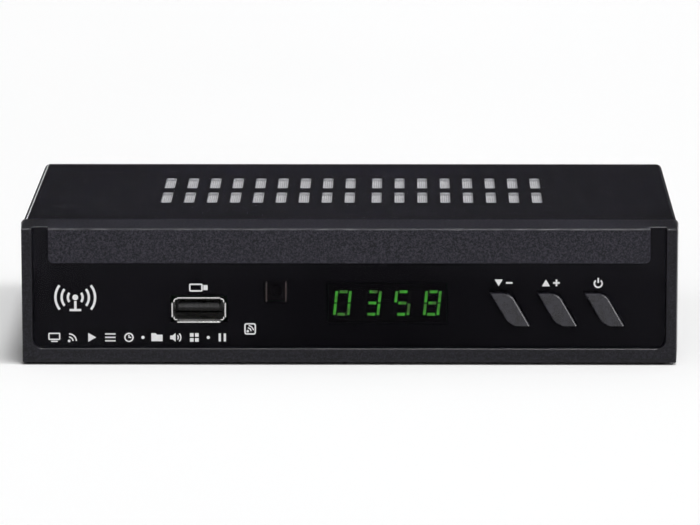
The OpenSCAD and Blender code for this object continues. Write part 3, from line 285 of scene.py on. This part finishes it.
lensFinish = {
    # lengths in millimetres
    "name": "smokedLens", "tint": (0.0036, 0.0031, 0.0044), "paintedReflection": (0.0244, 0.0233, 0.0285),
    "middle": 6.0,              # where the painted reflection is faintest, right of the panel's middle
    # between the first two, aside from that spot or above the panel's edge, the painted reflection grows by
    # the third
    "near": (10.0, 36.0, 0.22), "far": (36.0, 84.0, 0.19), "top": (20.5, 25.0, 0.36),
    "patch": 30.0, "uneven": 0.03, "rough": (0.03, 0.07), "ripple": 16.0, "relief": 0.0002,
    "shine": 0.0, "cover": 0.45,   # a painted reflection stands for the gloss, and the lens hides this share
}


# smoked plastic whose gloss is a painted reflection, paler aside from the middle and towards the top
def smokedLens(s):
    mat, tree, shader, place = newFinish(s["name"])
    spot = axes(tree, place)
    patch = grain(tree, place, s["patch"])
    aside = maths(tree, "ABSOLUTE", maths(tree, "SUBTRACT", spot["X"], s["middle"] * mm))
    above = maths(tree, "SUBTRACT", spot["Z"], edgeZ)
    reflectionShare = spread(tree, patch, 0.0, s["uneven"])
    for way, (start, end, share) in ((aside, s["near"]), (aside, s["far"]), (above, s["top"])):
        reflectionShare = maths(tree, "ADD", reflectionShare, spread(tree, way, 0.0, share, (start * mm, end * mm)))
    tree.links.new(ramp(tree, reflectionShare, (s["tint"], s["paintedReflection"]), (0.0, 1.0)), shader.inputs["Base Color"])
    tree.links.new(spread(tree, patch, *s["rough"]), shader.inputs["Roughness"])
    shader.inputs["Specular IOR Level"].default_value = s["shine"]
    shader.inputs["Alpha"].default_value = s["cover"]
    relief(tree, shader, grain(tree, place, s["ripple"], softDetail), s["relief"])
    return mat


glowFinish = {
    "name": "glowingSegments", "patch": 2.6,   # millimetres
    "dull": (0.085, 0.19, 0.055), "green": (0.08, 0.43, 0.05), "bright": (0.095, 0.58, 0.065),
    "stops": (0.36, 0.5, 0.62), "strength": 1.6,
    "base": ((0.02, 0.03, 0.02), (0.03, 0.05, 0.025)), "rough": 0.5,
}


def glowingSegments(s):
    mat, tree, shader, place = newFinish(s["name"])
    patch = grain(tree, place, s["patch"], softDetail)
    glow = ramp(tree, patch, (s["dull"], s["green"], s["bright"]), s["stops"])
    tree.links.new(glow, shader.inputs["Emission Color"])
    tree.links.new(ramp(tree, patch, s["base"]), shader.inputs["Base Color"])
    shader.inputs["Emission Strength"].default_value = s["strength"]
    shader.inputs["Roughness"].default_value = s["rough"]
    return mat


screenFinish = {
    # lengths in millimetres
    "name": "wovenScreen", "thread": 0.55, "gap": (0.16, 0.16, 0.17), "pale": (0.62, 0.62, 0.64),
    "stops": (0.1, 0.55), "mottle": 0.5, "uneven": 0.3, "rough": 0.6, "relief": 0.05,
}


def wovenScreen(s):
    # threads both ways, pale, with darker gaps between them
    mat, tree, shader, place = newFinish(s["name"])
    spot = axes(tree, place)
    turns = [maths(tree, "MULTIPLY", spot[axis], math.pi / (s["thread"] * mm)) for axis in ("X", "Y")]
    weave = allOf(tree, *(maths(tree, "ABSOLUTE", maths(tree, "SINE", turn)) for turn in turns))
    blotch = spread(tree, grain(tree, place, s["mottle"]), -s["uneven"], s["uneven"])
    mottled = maths(tree, "ADD", weave, blotch)
    tree.links.new(ramp(tree, mottled, (s["gap"], s["pale"]), s["stops"]), shader.inputs["Base Color"])
    shader.inputs["Roughness"].default_value = s["rough"]
    relief(tree, shader, weave, s["relief"])
    return mat


# grain, patch and relief in millimetres
inkFinish = {
    "name": "printedWhite", "dark": (0.74, 0.74, 0.74), "light": (0.9, 0.9, 0.9), "grain": 0.12,
    "patch": 2.0, "rough": (0.5, 0.65), "shine": 0.3, "relief": 0.002,
}
shieldFinish = {
    "name": "warmTin", "dark": (0.86, 0.62, 0.58), "light": (0.95, 0.86, 0.84), "grain": 0.8,
    "rough": (0.28, 0.42), "metal": 1.0, "relief": 0.003,
}
# painted highlight: the black tongue's pale mottling stands for its glints
tongueFinish = {
    "name": "glintPaintedTongue", "dark": (0.006, 0.006, 0.0065), "light": (0.055, 0.055, 0.058), "grain": 0.5,
    "patch": 3.0, "rough": (0.24, 0.36), "relief": 0.006,
}
plainFinishes = {
    "button_plastic": {
        "name": "satinButton", "dark": (0.0040, 0.0037, 0.0062), "light": (0.0262, 0.0247, 0.0348),
        "grain": 0.35, "patch": 2.2, "patchShare": 0.45, "rough": (0.24, 0.3), "relief": 0.003},
    "chip_plastic": {
        "name": "blackEpoxy", "dark": (0.010, 0.010, 0.011), "light": (0.022, 0.022, 0.024),
        "grain": 0.2, "rough": (0.55, 0.7), "relief": 0.008},
    "switch_metal": {
        "name": "switchPlate", "dark": (0.55, 0.55, 0.53), "light": (0.72, 0.72, 0.7),
        "grain": 0.5, "rough": (0.3, 0.42), "metal": 1.0, "relief": 0.003},
    "board_laminate": {
        "name": "greenLaminate", "dark": (0.008, 0.055, 0.02), "light": (0.02, 0.12, 0.045),
        "grain": 0.9, "detail": 4.0, "rough": (0.3, 0.45), "relief": 0.01},
    "display_plastic": {
        "name": "displayBlack", "dark": (0.0080, 0.0076, 0.0092), "light": (0.0138, 0.0133, 0.0154),
        "grain": 0.3, "rough": (0.5, 0.65), "shine": 0.25, "relief": 0.004},
    "unlit_plastic": {
        "name": "unlitSegments", "dark": (0.0092, 0.0100, 0.0096), "light": (0.0148, 0.0160, 0.0150),
        "grain": 0.4, "rough": (0.4, 0.5), "relief": 0.002},
    "sensor_plastic": {
        "name": "sensorEpoxy", "dark": (0.022, 0.0175, 0.0205), "light": (0.042, 0.033, 0.038),
        "grain": 1.2, "rough": (0.3, 0.4), "shine": 0.25, "relief": 0.002},
    "tin_plate": {
        "name": "tinPlate", "dark": (0.5, 0.49, 0.48), "light": (0.72, 0.71, 0.69),
        "grain": 0.6, "stretch": (0.25, 1, 1), "rough": (0.28, 0.42), "metal": 1.0, "relief": 0.003},
    "nickel_plate": {
        "name": "nickelPlate", "dark": (0.54, 0.54, 0.53), "light": (0.74, 0.74, 0.73),
        "grain": 0.4, "rough": (0.18, 0.3), "metal": 1.0, "relief": 0.0015},
    "socket_plastic": {
        "name": "socketBlack", "dark": (0.011, 0.011, 0.012), "light": (0.024, 0.024, 0.026),
        "grain": 0.35, "rough": (0.42, 0.55), "relief": 0.006},
    "contact_metal": {
        "name": "giltContact", "dark": (0.34, 0.25, 0.13), "light": (0.5, 0.38, 0.21),
        "grain": 0.4, "rough": (0.2, 0.32), "metal": 1.0, "relief": 0.002},
    "screw_steel": {
        "name": "zincScrew", "dark": (0.5, 0.5, 0.5), "light": (0.72, 0.71, 0.69),
        "grain": 0.35, "rough": (0.25, 0.4), "metal": 1.0, "relief": 0.004},
    "black_screw_steel": {
        "name": "blackScrew", "dark": (0.02, 0.02, 0.022), "light": (0.05, 0.05, 0.053),
        "grain": 0.3, "rough": (0.3, 0.45), "metal": 0.6, "relief": 0.005},
    "zinc_steel": {
        "name": "zincTray", "dark": (0.34, 0.35, 0.36), "light": (0.6, 0.61, 0.62), "grain": 2.6,
        "detail": 5.0, "patchShare": 0.5, "rough": (0.34, 0.5), "metal": 1.0, "relief": 0.004},
    "foot_rubber": {
        "name": "footRubber", "dark": (0.012, 0.012, 0.012), "light": (0.026, 0.026, 0.026),
        "grain": 0.5, "rough": (0.7, 0.85), "relief": 0.02},
    "pad_rubber": {
        "name": "greyPad", "dark": (0.3, 0.34, 0.42), "light": (0.42, 0.46, 0.54),
        "grain": 0.6, "rough": (0.7, 0.85), "relief": 0.02},
    "sink_metal": {
        "name": "drawnAluminium", "dark": (0.5, 0.5, 0.51), "light": (0.74, 0.74, 0.75),
        "grain": 0.5, "stretch": (1, 0.08, 1), "rough": (0.3, 0.45), "metal": 1.0, "relief": 0.005},
    "capacitor_film": {
        "name": "capacitorWrap", "dark": (0.01, 0.012, 0.035), "light": (0.02, 0.024, 0.06),
        "grain": 0.8, "rough": (0.25, 0.35), "relief": 0.003},
    "ferrite": {
        "name": "ferriteGrey", "dark": (0.04, 0.04, 0.042), "light": (0.085, 0.085, 0.09),
        "grain": 0.3, "rough": (0.6, 0.75), "relief": 0.015},
    "insulator_plastic": {
        "name": "creamInsulator", "dark": (0.62, 0.6, 0.52), "light": (0.8, 0.78, 0.7),
        "grain": 0.7, "rough": (0.4, 0.5), "relief": 0.004},
}
finishes = {slot: surfaceFinish(settings) for slot, settings in plainFinishes.items()}
finishes["panel_plastic"] = speckledPanel(panelFinish)
finishes["painted_steel"] = paintedCover(coverFinish)
finishes["lens_plastic"] = smokedLens(lensFinish)
finishes["lit_plastic"] = glowingSegments(glowFinish)
finishes["white_film"] = wovenScreen(screenFinish)
# two nodes look unlike the others of their slot
ownFinishes = {"sensor_shield": surfaceFinish(shieldFinish), "data_port_tongue": surfaceFinish(tongueFinish)}
ink = surfaceFinish(inkFinish)

for node in nodes.values():
    for holder in node.material_slots:
        slot = holder.material.name.split(".")[0] if holder.material else None
        if slot in finishes:
            holder.material = finishes[slot]
for name, finish in ownFinishes.items():
    nodes[name].material_slots[0].material = finish
print("finishes made:", len(finishes) + len(ownFinishes) + 1)


# the CAD pieces that show, with their corners eased

easedPieces = {
    # node: width of the eased corner in millimetres, steps (1 is a flat chamfer),
    # least corner in degrees, slot
    "front_panel": (0.17, 1, 40, "panel_plastic"),
    "front_lens": (0.12, 2, 40, "lens_plastic"),
    **{key + "_button": (0.28, 1, 40, "button_plastic") for key in keys},
    "top_cover": (0.14, 2, 40, "painted_steel"),
    "base_tray": (0.12, 2, 40, "zinc_steel"),
    "data_port_sleeve": (0.06, 2, 20, "nickel_plate"),
    "data_port_tongue": (0.2, 1, 30, "socket_plastic"),
    **{end + side + "_foot": (0.5, 3, 40, "foot_rubber")
       for end in ("front_", "rear_") for side in ("left", "right")},
    "aerial_in_sleeve": (0.15, 2, 40, "nickel_plate"),
    "aerial_in_contact": (0.12, 2, 40, "nickel_plate"),
    "aerial_out_sleeve": (0.15, 2, 40, "nickel_plate"),
    "aerial_out_pin": (0.3, 3, 40, "nickel_plate"),
    "video_port_sleeve": (0.1, 2, 30, "nickel_plate"),
    "video_port_tongue": (0.12, 2, 30, "socket_plastic"),
    "av_socket_housing": (0.2, 2, 30, "socket_plastic"),
    "power_jack_body": (0.2, 2, 40, "socket_plastic"),
    "power_jack_pin": (0.2, 3, 40, "nickel_plate"),
    "cover_screws": (0.12, 2, 40, "black_screw_steel"),
    "panel_screws": (0.1, 2, 40, "screw_steel"),
}
bodyOf = {key + "_button": key + "_key" for key in keys}
backClearance = {"front_lens": 0.04}   # millimetres that a see-through back stands off the wall behind it
easeSettings = {
    "weld": 0.004, "backLayer": 0.01,   # millimetres: points that are one, points that make up a back
    "flat": 0.6, "crease": 20,          # degrees: faces that are one, edges that stay sharp
    "level": 0.97,                      # a level face's normal points up or down more than this
    "profile": 0.5,                     # round
    "weight": 70,                       # how much more large faces count for the normals
}


def easeCorners(node, width, steps, least, slot):
    s = easeSettings
    bm = bmesh.new()
    bm.from_mesh(nodes[node].data)
    bmesh.ops.remove_doubles(bm, verts=bm.verts, dist=s["weld"] * mm)
    bmesh.ops.dissolve_limit(bm, angle_limit=math.radians(s["flat"]), verts=bm.verts, edges=bm.edges)
    corners = [e for e in bm.edges if e.is_manifold and e.calc_face_angle() > math.radians(least)]
    if node in bodyOf:      # a button's level edges stay crisp
        corners = [e for e in corners if max(abs(f.normal.z) for f in e.link_faces) < s["level"]]
    bmesh.ops.bevel(bm, geom=corners, offset=width * mm, offset_type="OFFSET", affect="EDGES",
                    segments=steps, profile=s["profile"], material=-1, clamp_overlap=False, loop_slide=True)
    if node in backClearance:
        back = max(v.co.y for v in bm.verts)
        for v in bm.verts:
            if v.co.y > back - s["backLayer"] * mm:
                v.co.y -= backClearance[node] * mm
    for f in bm.faces:
        f.smooth = True
    for e in bm.edges:
        if e.is_manifold and e.calc_face_angle() > math.radians(s["crease"]):
            e.smooth = False
    mesh = bpy.data.meshes.new("eased_" + node)
    bm.to_mesh(mesh)
    bm.free()
    mesh.materials.append(ownFinishes.get(node, finishes[slot]))
    piece = bpy.data.objects.new("eased_" + node, mesh)
    bpy.context.scene.collection.objects.link(piece)
    even = piece.modifiers.new("evenNormals", "WEIGHTED_NORMAL")
    even.weight = s["weight"]
    even.keep_sharp = True
    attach(piece, bodyOf.get(node, "receiver"))
    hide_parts(node)
    return piece


eased = {node: easeCorners(node, *settings) for node, settings in easedPieces.items()}
print("eased pieces:", len(eased))


# plain signs printed on the lens, drawn in millimetres from the panel's middle and its lower edge

signSettings = {
    "proud": 0.03, "sunk": 0.006,   # millimetres before the lens's face and into it
    "arcSteps": 14, "cornerSteps": 5,
}


def sweep(x, z, radius, start, end, steps):
    # points along an arc, degrees anticlockwise from the right
    turns = [math.radians(start + (end - start) * i / steps) for i in range(steps + 1)]
    return [(x + radius * math.cos(a), z + radius * math.sin(a)) for a in turns]


def roundel(x, z, radius, steps=24, start=0):
    # a circle, or a regular figure where the steps are few
    return sweep(x, z, radius, start, start + 360, steps)[:-1]


def triangle(x, z, radius, pointing):
    return roundel(x, z, radius, 3, pointing)


def bow(x, z, radius, line, start, end):
    # a line along an arc
    outer = sweep(x, z, radius + line / 2, start, end, signSettings["arcSteps"])
    return outer + sweep(x, z, radius - line / 2, end, start, signSettings["arcSteps"])


def tile(x, z, wide, high, corner=0.0):
    # a rectangle, with round corners where a radius is given
    right, top = wide / 2 - corner, high / 2 - corner
    points = []
    for sideX, sideZ, start in ((1, 1, 0), (-1, 1, 90), (-1, -1, 180), (1, -1, 270)):
        spot = (x + sideX * right, z + sideZ * top)
        points += sweep(*spot, corner, start, start + 90, signSettings["cornerSteps"]) if corner else [spot]
    return points


def shifted(x, z, points):
    return [(x + p, z + q) for p, q in points]


def crossMark(x, z, size, line):
    # one arm, turned a quarter for each of the four
    tip, side = size / 2, line / 2
    arm = [(side, side), (side, tip), (-side, tip)]
    points = []
    for _ in range(4):
        points += arm
        arm = [(-q, p) for p, q in arm]
    return shifted(x, z, points)


def stamp(bm, points, line):
    # a flat sign from its outline; where a line width is given only the border stays
    back = lensY + signSettings["sunk"] * mm
    face = bm.faces.new([bm.verts.new((x * mm, back, edgeZ + z * mm)) for x, z in points])
    faces = [face]
    if line:
        bm.normal_update()
        faces = bmesh.ops.inset_region(bm, faces=[face], thickness=line * mm, use_even_offset=True,
                                       use_boundary=True)["faces"]
        bmesh.ops.delete(bm, geom=[face], context="FACES")
    grown = bmesh.ops.extrude_face_region(bm, geom=faces)["geom"]
    bmesh.ops.translate(bm, verts=[g for g in grown if isinstance(g, bmesh.types.BMVert)],
                        vec=(0, -(signSettings["proud"] + signSettings["sunk"]) * mm, 0))


def signPiece(name, shapes):
    bm = bmesh.new()
    for points, line in shapes:
        stamp(bm, points, line)
    bmesh.ops.recalc_face_normals(bm, faces=bm.faces)
    mesh = bpy.data.meshes.new(name)
    bm.to_mesh(mesh)
    bm.free()
    mesh.materials.append(ink)
    piece = bpy.data.objects.new(name, mesh)
    bpy.context.scene.collection.objects.link(piece)
    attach(piece, "receiver")


def middleX(node):
    low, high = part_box(node)
    return (low.x + high.x) / 2 / mm


buttonSigns = {
    "level": 20.8, "left": 1.6,   # above the panel's lower edge, and left of each button's middle
    "arrow": 1.2, "arrowLeft": 1.3, "arrowShift": 0.3,
    "markRight": 1.4, "markLine": 0.46, "minus": 1.7, "plus": 1.75,
    "ring": 1.0, "ringDrop": 0.15, "ringArc": (128, 412), "ringLine": 0.42,
    "stroke": 1.3, "strokeRise": 0.65,
}


def drawButtonSigns(s):
    # a triangle with minus, a triangle with plus, and a ring with a stroke
    z = s["level"]
    down, up, power = (middleX(key + "_button") - s["left"] for key in keys)
    return [
        (triangle(down - s["arrowLeft"], z + s["arrowShift"], s["arrow"], 270), None),
        (tile(down + s["markRight"], z, s["minus"], s["markLine"]), None),
        (triangle(up - s["arrowLeft"], z - s["arrowShift"], s["arrow"], 90), None),
        (crossMark(up + s["markRight"], z, s["plus"], s["markLine"]), None),
        (bow(power, z - s["ringDrop"], s["ring"], s["ringLine"], *s["ringArc"]), None),
        (tile(power, z + s["strokeRise"], s["ringLine"], s["stroke"]), None),
    ]


signPiece("button_signs", drawButtonSigns(buttonSigns))

portSign = {
    "place": (-38.6, 19.5),
    "stick": (3.5, 2.1, 0.4), "stickLeft": 0.7, "line": 0.38,   # width, height and corner radius first
    "plug": (1.1, 1.3), "plugRight": 1.75,
}


def drawPortSign(s):
    # a memory stick, over the data port
    x, z = s["place"]
    stick = tile(x - s["stickLeft"], z, *s["stick"])
    plug = tile(x + s["plugRight"], z, *s["plug"])
    return [(stick, s["line"]), (plug, None)]


signPiece("port_sign", drawPortSign(portSign))

sensorSign = {
    "place": (-25.44, 8.71),
    "border": (3.0, 3.0, 0.6), "borderLine": 0.36,   # width, height and corner radius first
    "source": 0.62,             # the rays start this far left of the middle and below it
    "dot": 0.34, "dotSteps": 14,
    "rays": ((0.86, 2, 88), (1.5, 10, 80)), "rayLine": 0.3,   # radius, first and last degree
}


def drawSensorSign(s):
    # rays that spread from a dot, for the remote control's sensor
    x, z = s["place"]
    dotX, dotZ = x - s["source"], z - s["source"]
    border = tile(x, z, *s["border"])
    dot = roundel(dotX, dotZ, s["dot"], s["dotSteps"])
    rays = [(bow(dotX, dotZ, radius, s["rayLine"], start, end), None) for radius, start, end in s["rays"]]
    return [(border, s["borderLine"]), (dot, None), *rays]


signPiece("sensor_sign", drawSensorSign(sensorSign))

emblemSign = {
    "place": (-70.3, 16.9), "head": 0.75, "headSteps": 20,
    "foot": 1.5, "stem": 0.32,              # half widths of the mast
    "levels": (-3.6, -3.0, -0.95),          # the foot's lower and upper edge, and the stem's top
    "reaches": (1.9, 3.5, 5.1), "waveLine": 0.62, "waveHalf": 38,
}


def drawEmblem(s):
    # an aerial mast sending waves to both sides
    x, z = s["place"]
    foot, stem = s["foot"], s["stem"]
    low, high, top = s["levels"]
    mast = [(-foot, low), (foot, low), (foot, high), (stem, high), (stem, top), (-stem, top), (-stem, high),
            (-foot, high)]
    waves = [(bow(x, z, reach, s["waveLine"], middle - s["waveHalf"], middle + s["waveHalf"]), None)
             for reach in s["reaches"] for middle in (0, 180)]
    return [(roundel(x, z, s["head"], s["headSteps"]), None), (shifted(x, z, mast), None), *waves]


signPiece("front_emblem", drawEmblem(emblemSign))

# the row of small pictures along the lens's lower edge, each drawn round its own middle
pictures = {
    "screen": [(tile(0, 0.25, 3.1, 1.9, 0.3), 0.34), (tile(0, -1.05, 1.7, 0.34), None)],
    "waves": [(roundel(-1.0, -0.95, 0.36, 14), None), (bow(-1.0, -0.95, 1.0, 0.36, 0, 90), None),
              (bow(-1.0, -0.95, 1.85, 0.36, 0, 90), None)],
    "play": [(triangle(-0.2, 0, 1.35, 0), None)],
    "list": [(tile(0, z, 2.7, 0.36), None) for z in (0.9, 0, -0.9)],
    "clock": [(roundel(0, 0, 1.22), 0.34),
              ([(-0.15, -0.15), (0.6, -0.15), (0.6, 0.15), (0.15, 0.15), (0.15, 0.7), (-0.15, 0.7)], None)],
    "folder": [([(-1.45, -1.0), (1.45, -1.0), (1.45, 0.7), (0, 0.7), (-0.3, 1.1), (-1.45, 1.1)], None)],
    "speaker": [([(-1.4, -0.5), (-0.8, -0.5), (0, -1.15), (0, 1.15), (-0.8, 0.5), (-1.4, 0.5)], None),
                (bow(0, 0, 0.7, 0.32, -50, 50), None), (bow(0, 0, 1.35, 0.32, -48, 48), None)],
    "tiles": [(tile(x, z, 0.95, 0.95), None) for x in (-0.65, 0.65) for z in (-0.65, 0.65)],
    "pause": [(tile(x, 0, 0.6, 2.1), None) for x in (-0.65, 0.65)],
    "dot": [(roundel(0, 0, 0.42, 16), None)],
}
pictureRow = {
    "start": -75.8, "level": 6.45, "step": 4.8, "dotStep": 3.6,   # a dot stands nearer to its neighbours
    "order": ("screen", "waves", "play", "list", "clock", "dot",
              "folder", "speaker", "tiles", "dot", "pause"),
}


def drawPictureRow(s):
    x = s["start"]
    shapes = []
    for i, key in enumerate(s["order"]):
        if i:
            x += s["dotStep"] if "dot" in (key, s["order"][i - 1]) else s["step"]
        shapes += [(shifted(x, s["level"], points), line) for points, line in pictures[key]]
    return shapes


signPiece("picture_row", drawPictureRow(pictureRow))
print("signs printed")


# stage, lights and camera

stageSettings = {
    "reach": 6.0, "cove": 0.2, "wall": 0.25, "weld": 0.001,   # metres
    "coveStep": 15, "steps": 96,   # degrees from point to point of the cove, and steps all round
    "colours": ((0.9, 0.9, 0.9), (0.93, 0.93, 0.93)), "patch": 400.0,   # the patch in millimetres
    "rough": 0.9, "shine": 0.1,
}


def buildStage(s):
    bm = bmesh.new()
    corner = [(s["reach"] - s["cove"] + s["cove"] * math.sin(a), s["cove"] - s["cove"] * math.cos(a))
              for a in (math.radians(d) for d in range(0, 90 + s["coveStep"], s["coveStep"]))]
    line = [(0.0, 0.0)] + corner + [(s["reach"], s["wall"])]
    points = [bm.verts.new((x, 0, z)) for x, z in line]
    edges = [bm.edges.new(pair) for pair in zip(points, points[1:])]
    bmesh.ops.spin(bm, geom=points + edges, axis=(0, 0, 1), cent=(0, 0, 0), angle=2 * math.pi,
                   steps=s["steps"], use_merge=True)
    bmesh.ops.remove_doubles(bm, verts=bm.verts, dist=s["weld"])
    bmesh.ops.recalc_face_normals(bm, faces=bm.faces)
    if sum(f.normal.z for f in bm.faces) < 0:
        bmesh.ops.reverse_faces(bm, faces=bm.faces)
    for f in bm.faces:
        f.smooth = True
    mesh = bpy.data.meshes.new("studioFloor")
    bm.to_mesh(mesh)
    bm.free()
    mat, tree, shader, place = newFinish("whiteStage")
    patch = grain(tree, place, s["patch"], softDetail)
    tree.links.new(ramp(tree, patch, s["colours"]), shader.inputs["Base Color"])
    shader.inputs["Roughness"].default_value = s["rough"]
    shader.inputs["Specular IOR Level"].default_value = s["shine"]
    mesh.materials.append(mat)
    floor = bpy.data.objects.new("studioFloor", mesh)
    bpy.context.scene.collection.objects.link(floor)


buildStage(stageSettings)

lampSettings = {
    # name: direction the light comes from, strength, angle of the source in degrees,
    # and whether it lights the broad tops only (INCLUDE), all but them (EXCLUDE) or everything (None)
    "overhead": ((0.12, -0.19, 1.0), 1.49, 14, None),
    "topSoft": ((0.1, -0.25, 1.0), 0.68, 80, "INCLUDE"),
    "rightTop": ((0.43, -0.17, 0.88), 0.4, 16, "EXCLUDE"),
    "rightLow": ((0.93, -0.09, 0.36), 0.5, 16, "EXCLUDE"),
    "rightHigh": ((0.75, -0.18, 0.64), 0.5, 16, "EXCLUDE"),
    "frontFill": ((0.1, -0.9, 0.6), 0.5, 60, None),
    "leftBend": ((-0.165, 0.98, 0.105), 0.008, 4, "INCLUDE"),   # draws a line along the cover's left bend
}
broadTops = ("top_cover", "front_panel")   # they would mirror the lamps from the right as white sheets


def lightOrLeave(lampHolder, state):
    group = bpy.data.collections.new(lampHolder.name + "Pieces")
    for node in broadTops:
        group.objects.link(eased[node])
    for member in group.collection_objects:
        member.light_linking.link_state = state
    lampHolder.light_linking.receiver_collection = group


for name, (towards, strength, angle, tops) in lampSettings.items():
    lamp = bpy.data.lights.new(name, "SUN")
    lamp.energy = strength
    lamp.angle = math.radians(angle)
    holder = bpy.data.objects.new(name, lamp)
    holder.rotation_euler = Vector(towards).to_track_quat("Z", "Y").to_euler()
    bpy.context.scene.collection.objects.link(holder)
    if tops:
        lightOrLeave(holder, tops)

skySettings = {
    "low": (0.02, 0.02, 0.021), "middle": (0.1, 0.1, 0.104), "top": (0.46, 0.46, 0.46),
    "stops": (0.15, 0.5, 0.9),
}


def buildSky(s):
    world = bpy.data.worlds.new("studioSky")
    world.use_nodes = True
    tree = world.node_tree
    tree.nodes.clear()
    out = tree.nodes.new("ShaderNodeOutputWorld")
    back = tree.nodes.new("ShaderNodeBackground")
    height = axes(tree, tree.nodes.new("ShaderNodeTexCoord").outputs["Generated"])["Z"]
    tree.links.new(ramp(tree, height, (s["low"], s["middle"], s["top"]), s["stops"]), back.inputs["Color"])
    tree.links.new(back.outputs["Background"], out.inputs["Surface"])
    bpy.context.scene.world = world


buildSky(skySettings)

cameraSettings = {
    "place": (0.01476, -1.3115, 0.2746),   # metres from the middle of the panel's lower front edge
    "pitch": 10.723, "yaw": -0.634, "roll": -0.074,   # degrees, looking down and a little to the left
    "focal": 5213.3, "imageWidth": 700, "sensor": 36.0,   # pixels, pixels, millimetres
    "clip": (0.05, 50),   # metres
}


def buildCamera(s):
    pitch, yaw, roll = (math.radians(s[key]) for key in ("pitch", "yaw", "roll"))
    ahead = Vector((math.sin(yaw) * math.cos(pitch), math.cos(yaw) * math.cos(pitch), -math.sin(pitch)))
    right = Vector((math.cos(yaw), -math.sin(yaw), 0))
    up = right.cross(ahead)
    side = right * math.cos(roll) + up * math.sin(roll)
    top = up * math.cos(roll) - right * math.sin(roll)
    lens = bpy.data.cameras.new("photoCamera")
    lens.sensor_fit = "HORIZONTAL"
    lens.sensor_width = s["sensor"]
    lens.lens = s["sensor"] * s["focal"] / s["imageWidth"]
    lens.clip_start, lens.clip_end = s["clip"]
    camera = bpy.data.objects.new("photoCamera", lens)
    turn = Matrix((side, top, -ahead)).transposed().to_4x4()
    camera.matrix_world = Matrix.Translation(Vector(s["place"]) + Vector((0, faceY, edgeZ))) @ turn
    bpy.context.scene.collection.objects.link(camera)
    bpy.context.scene.camera = camera


buildCamera(cameraSettings)
bpy.context.scene.view_settings.view_transform = "Standard"
print("stage, lights and camera set")
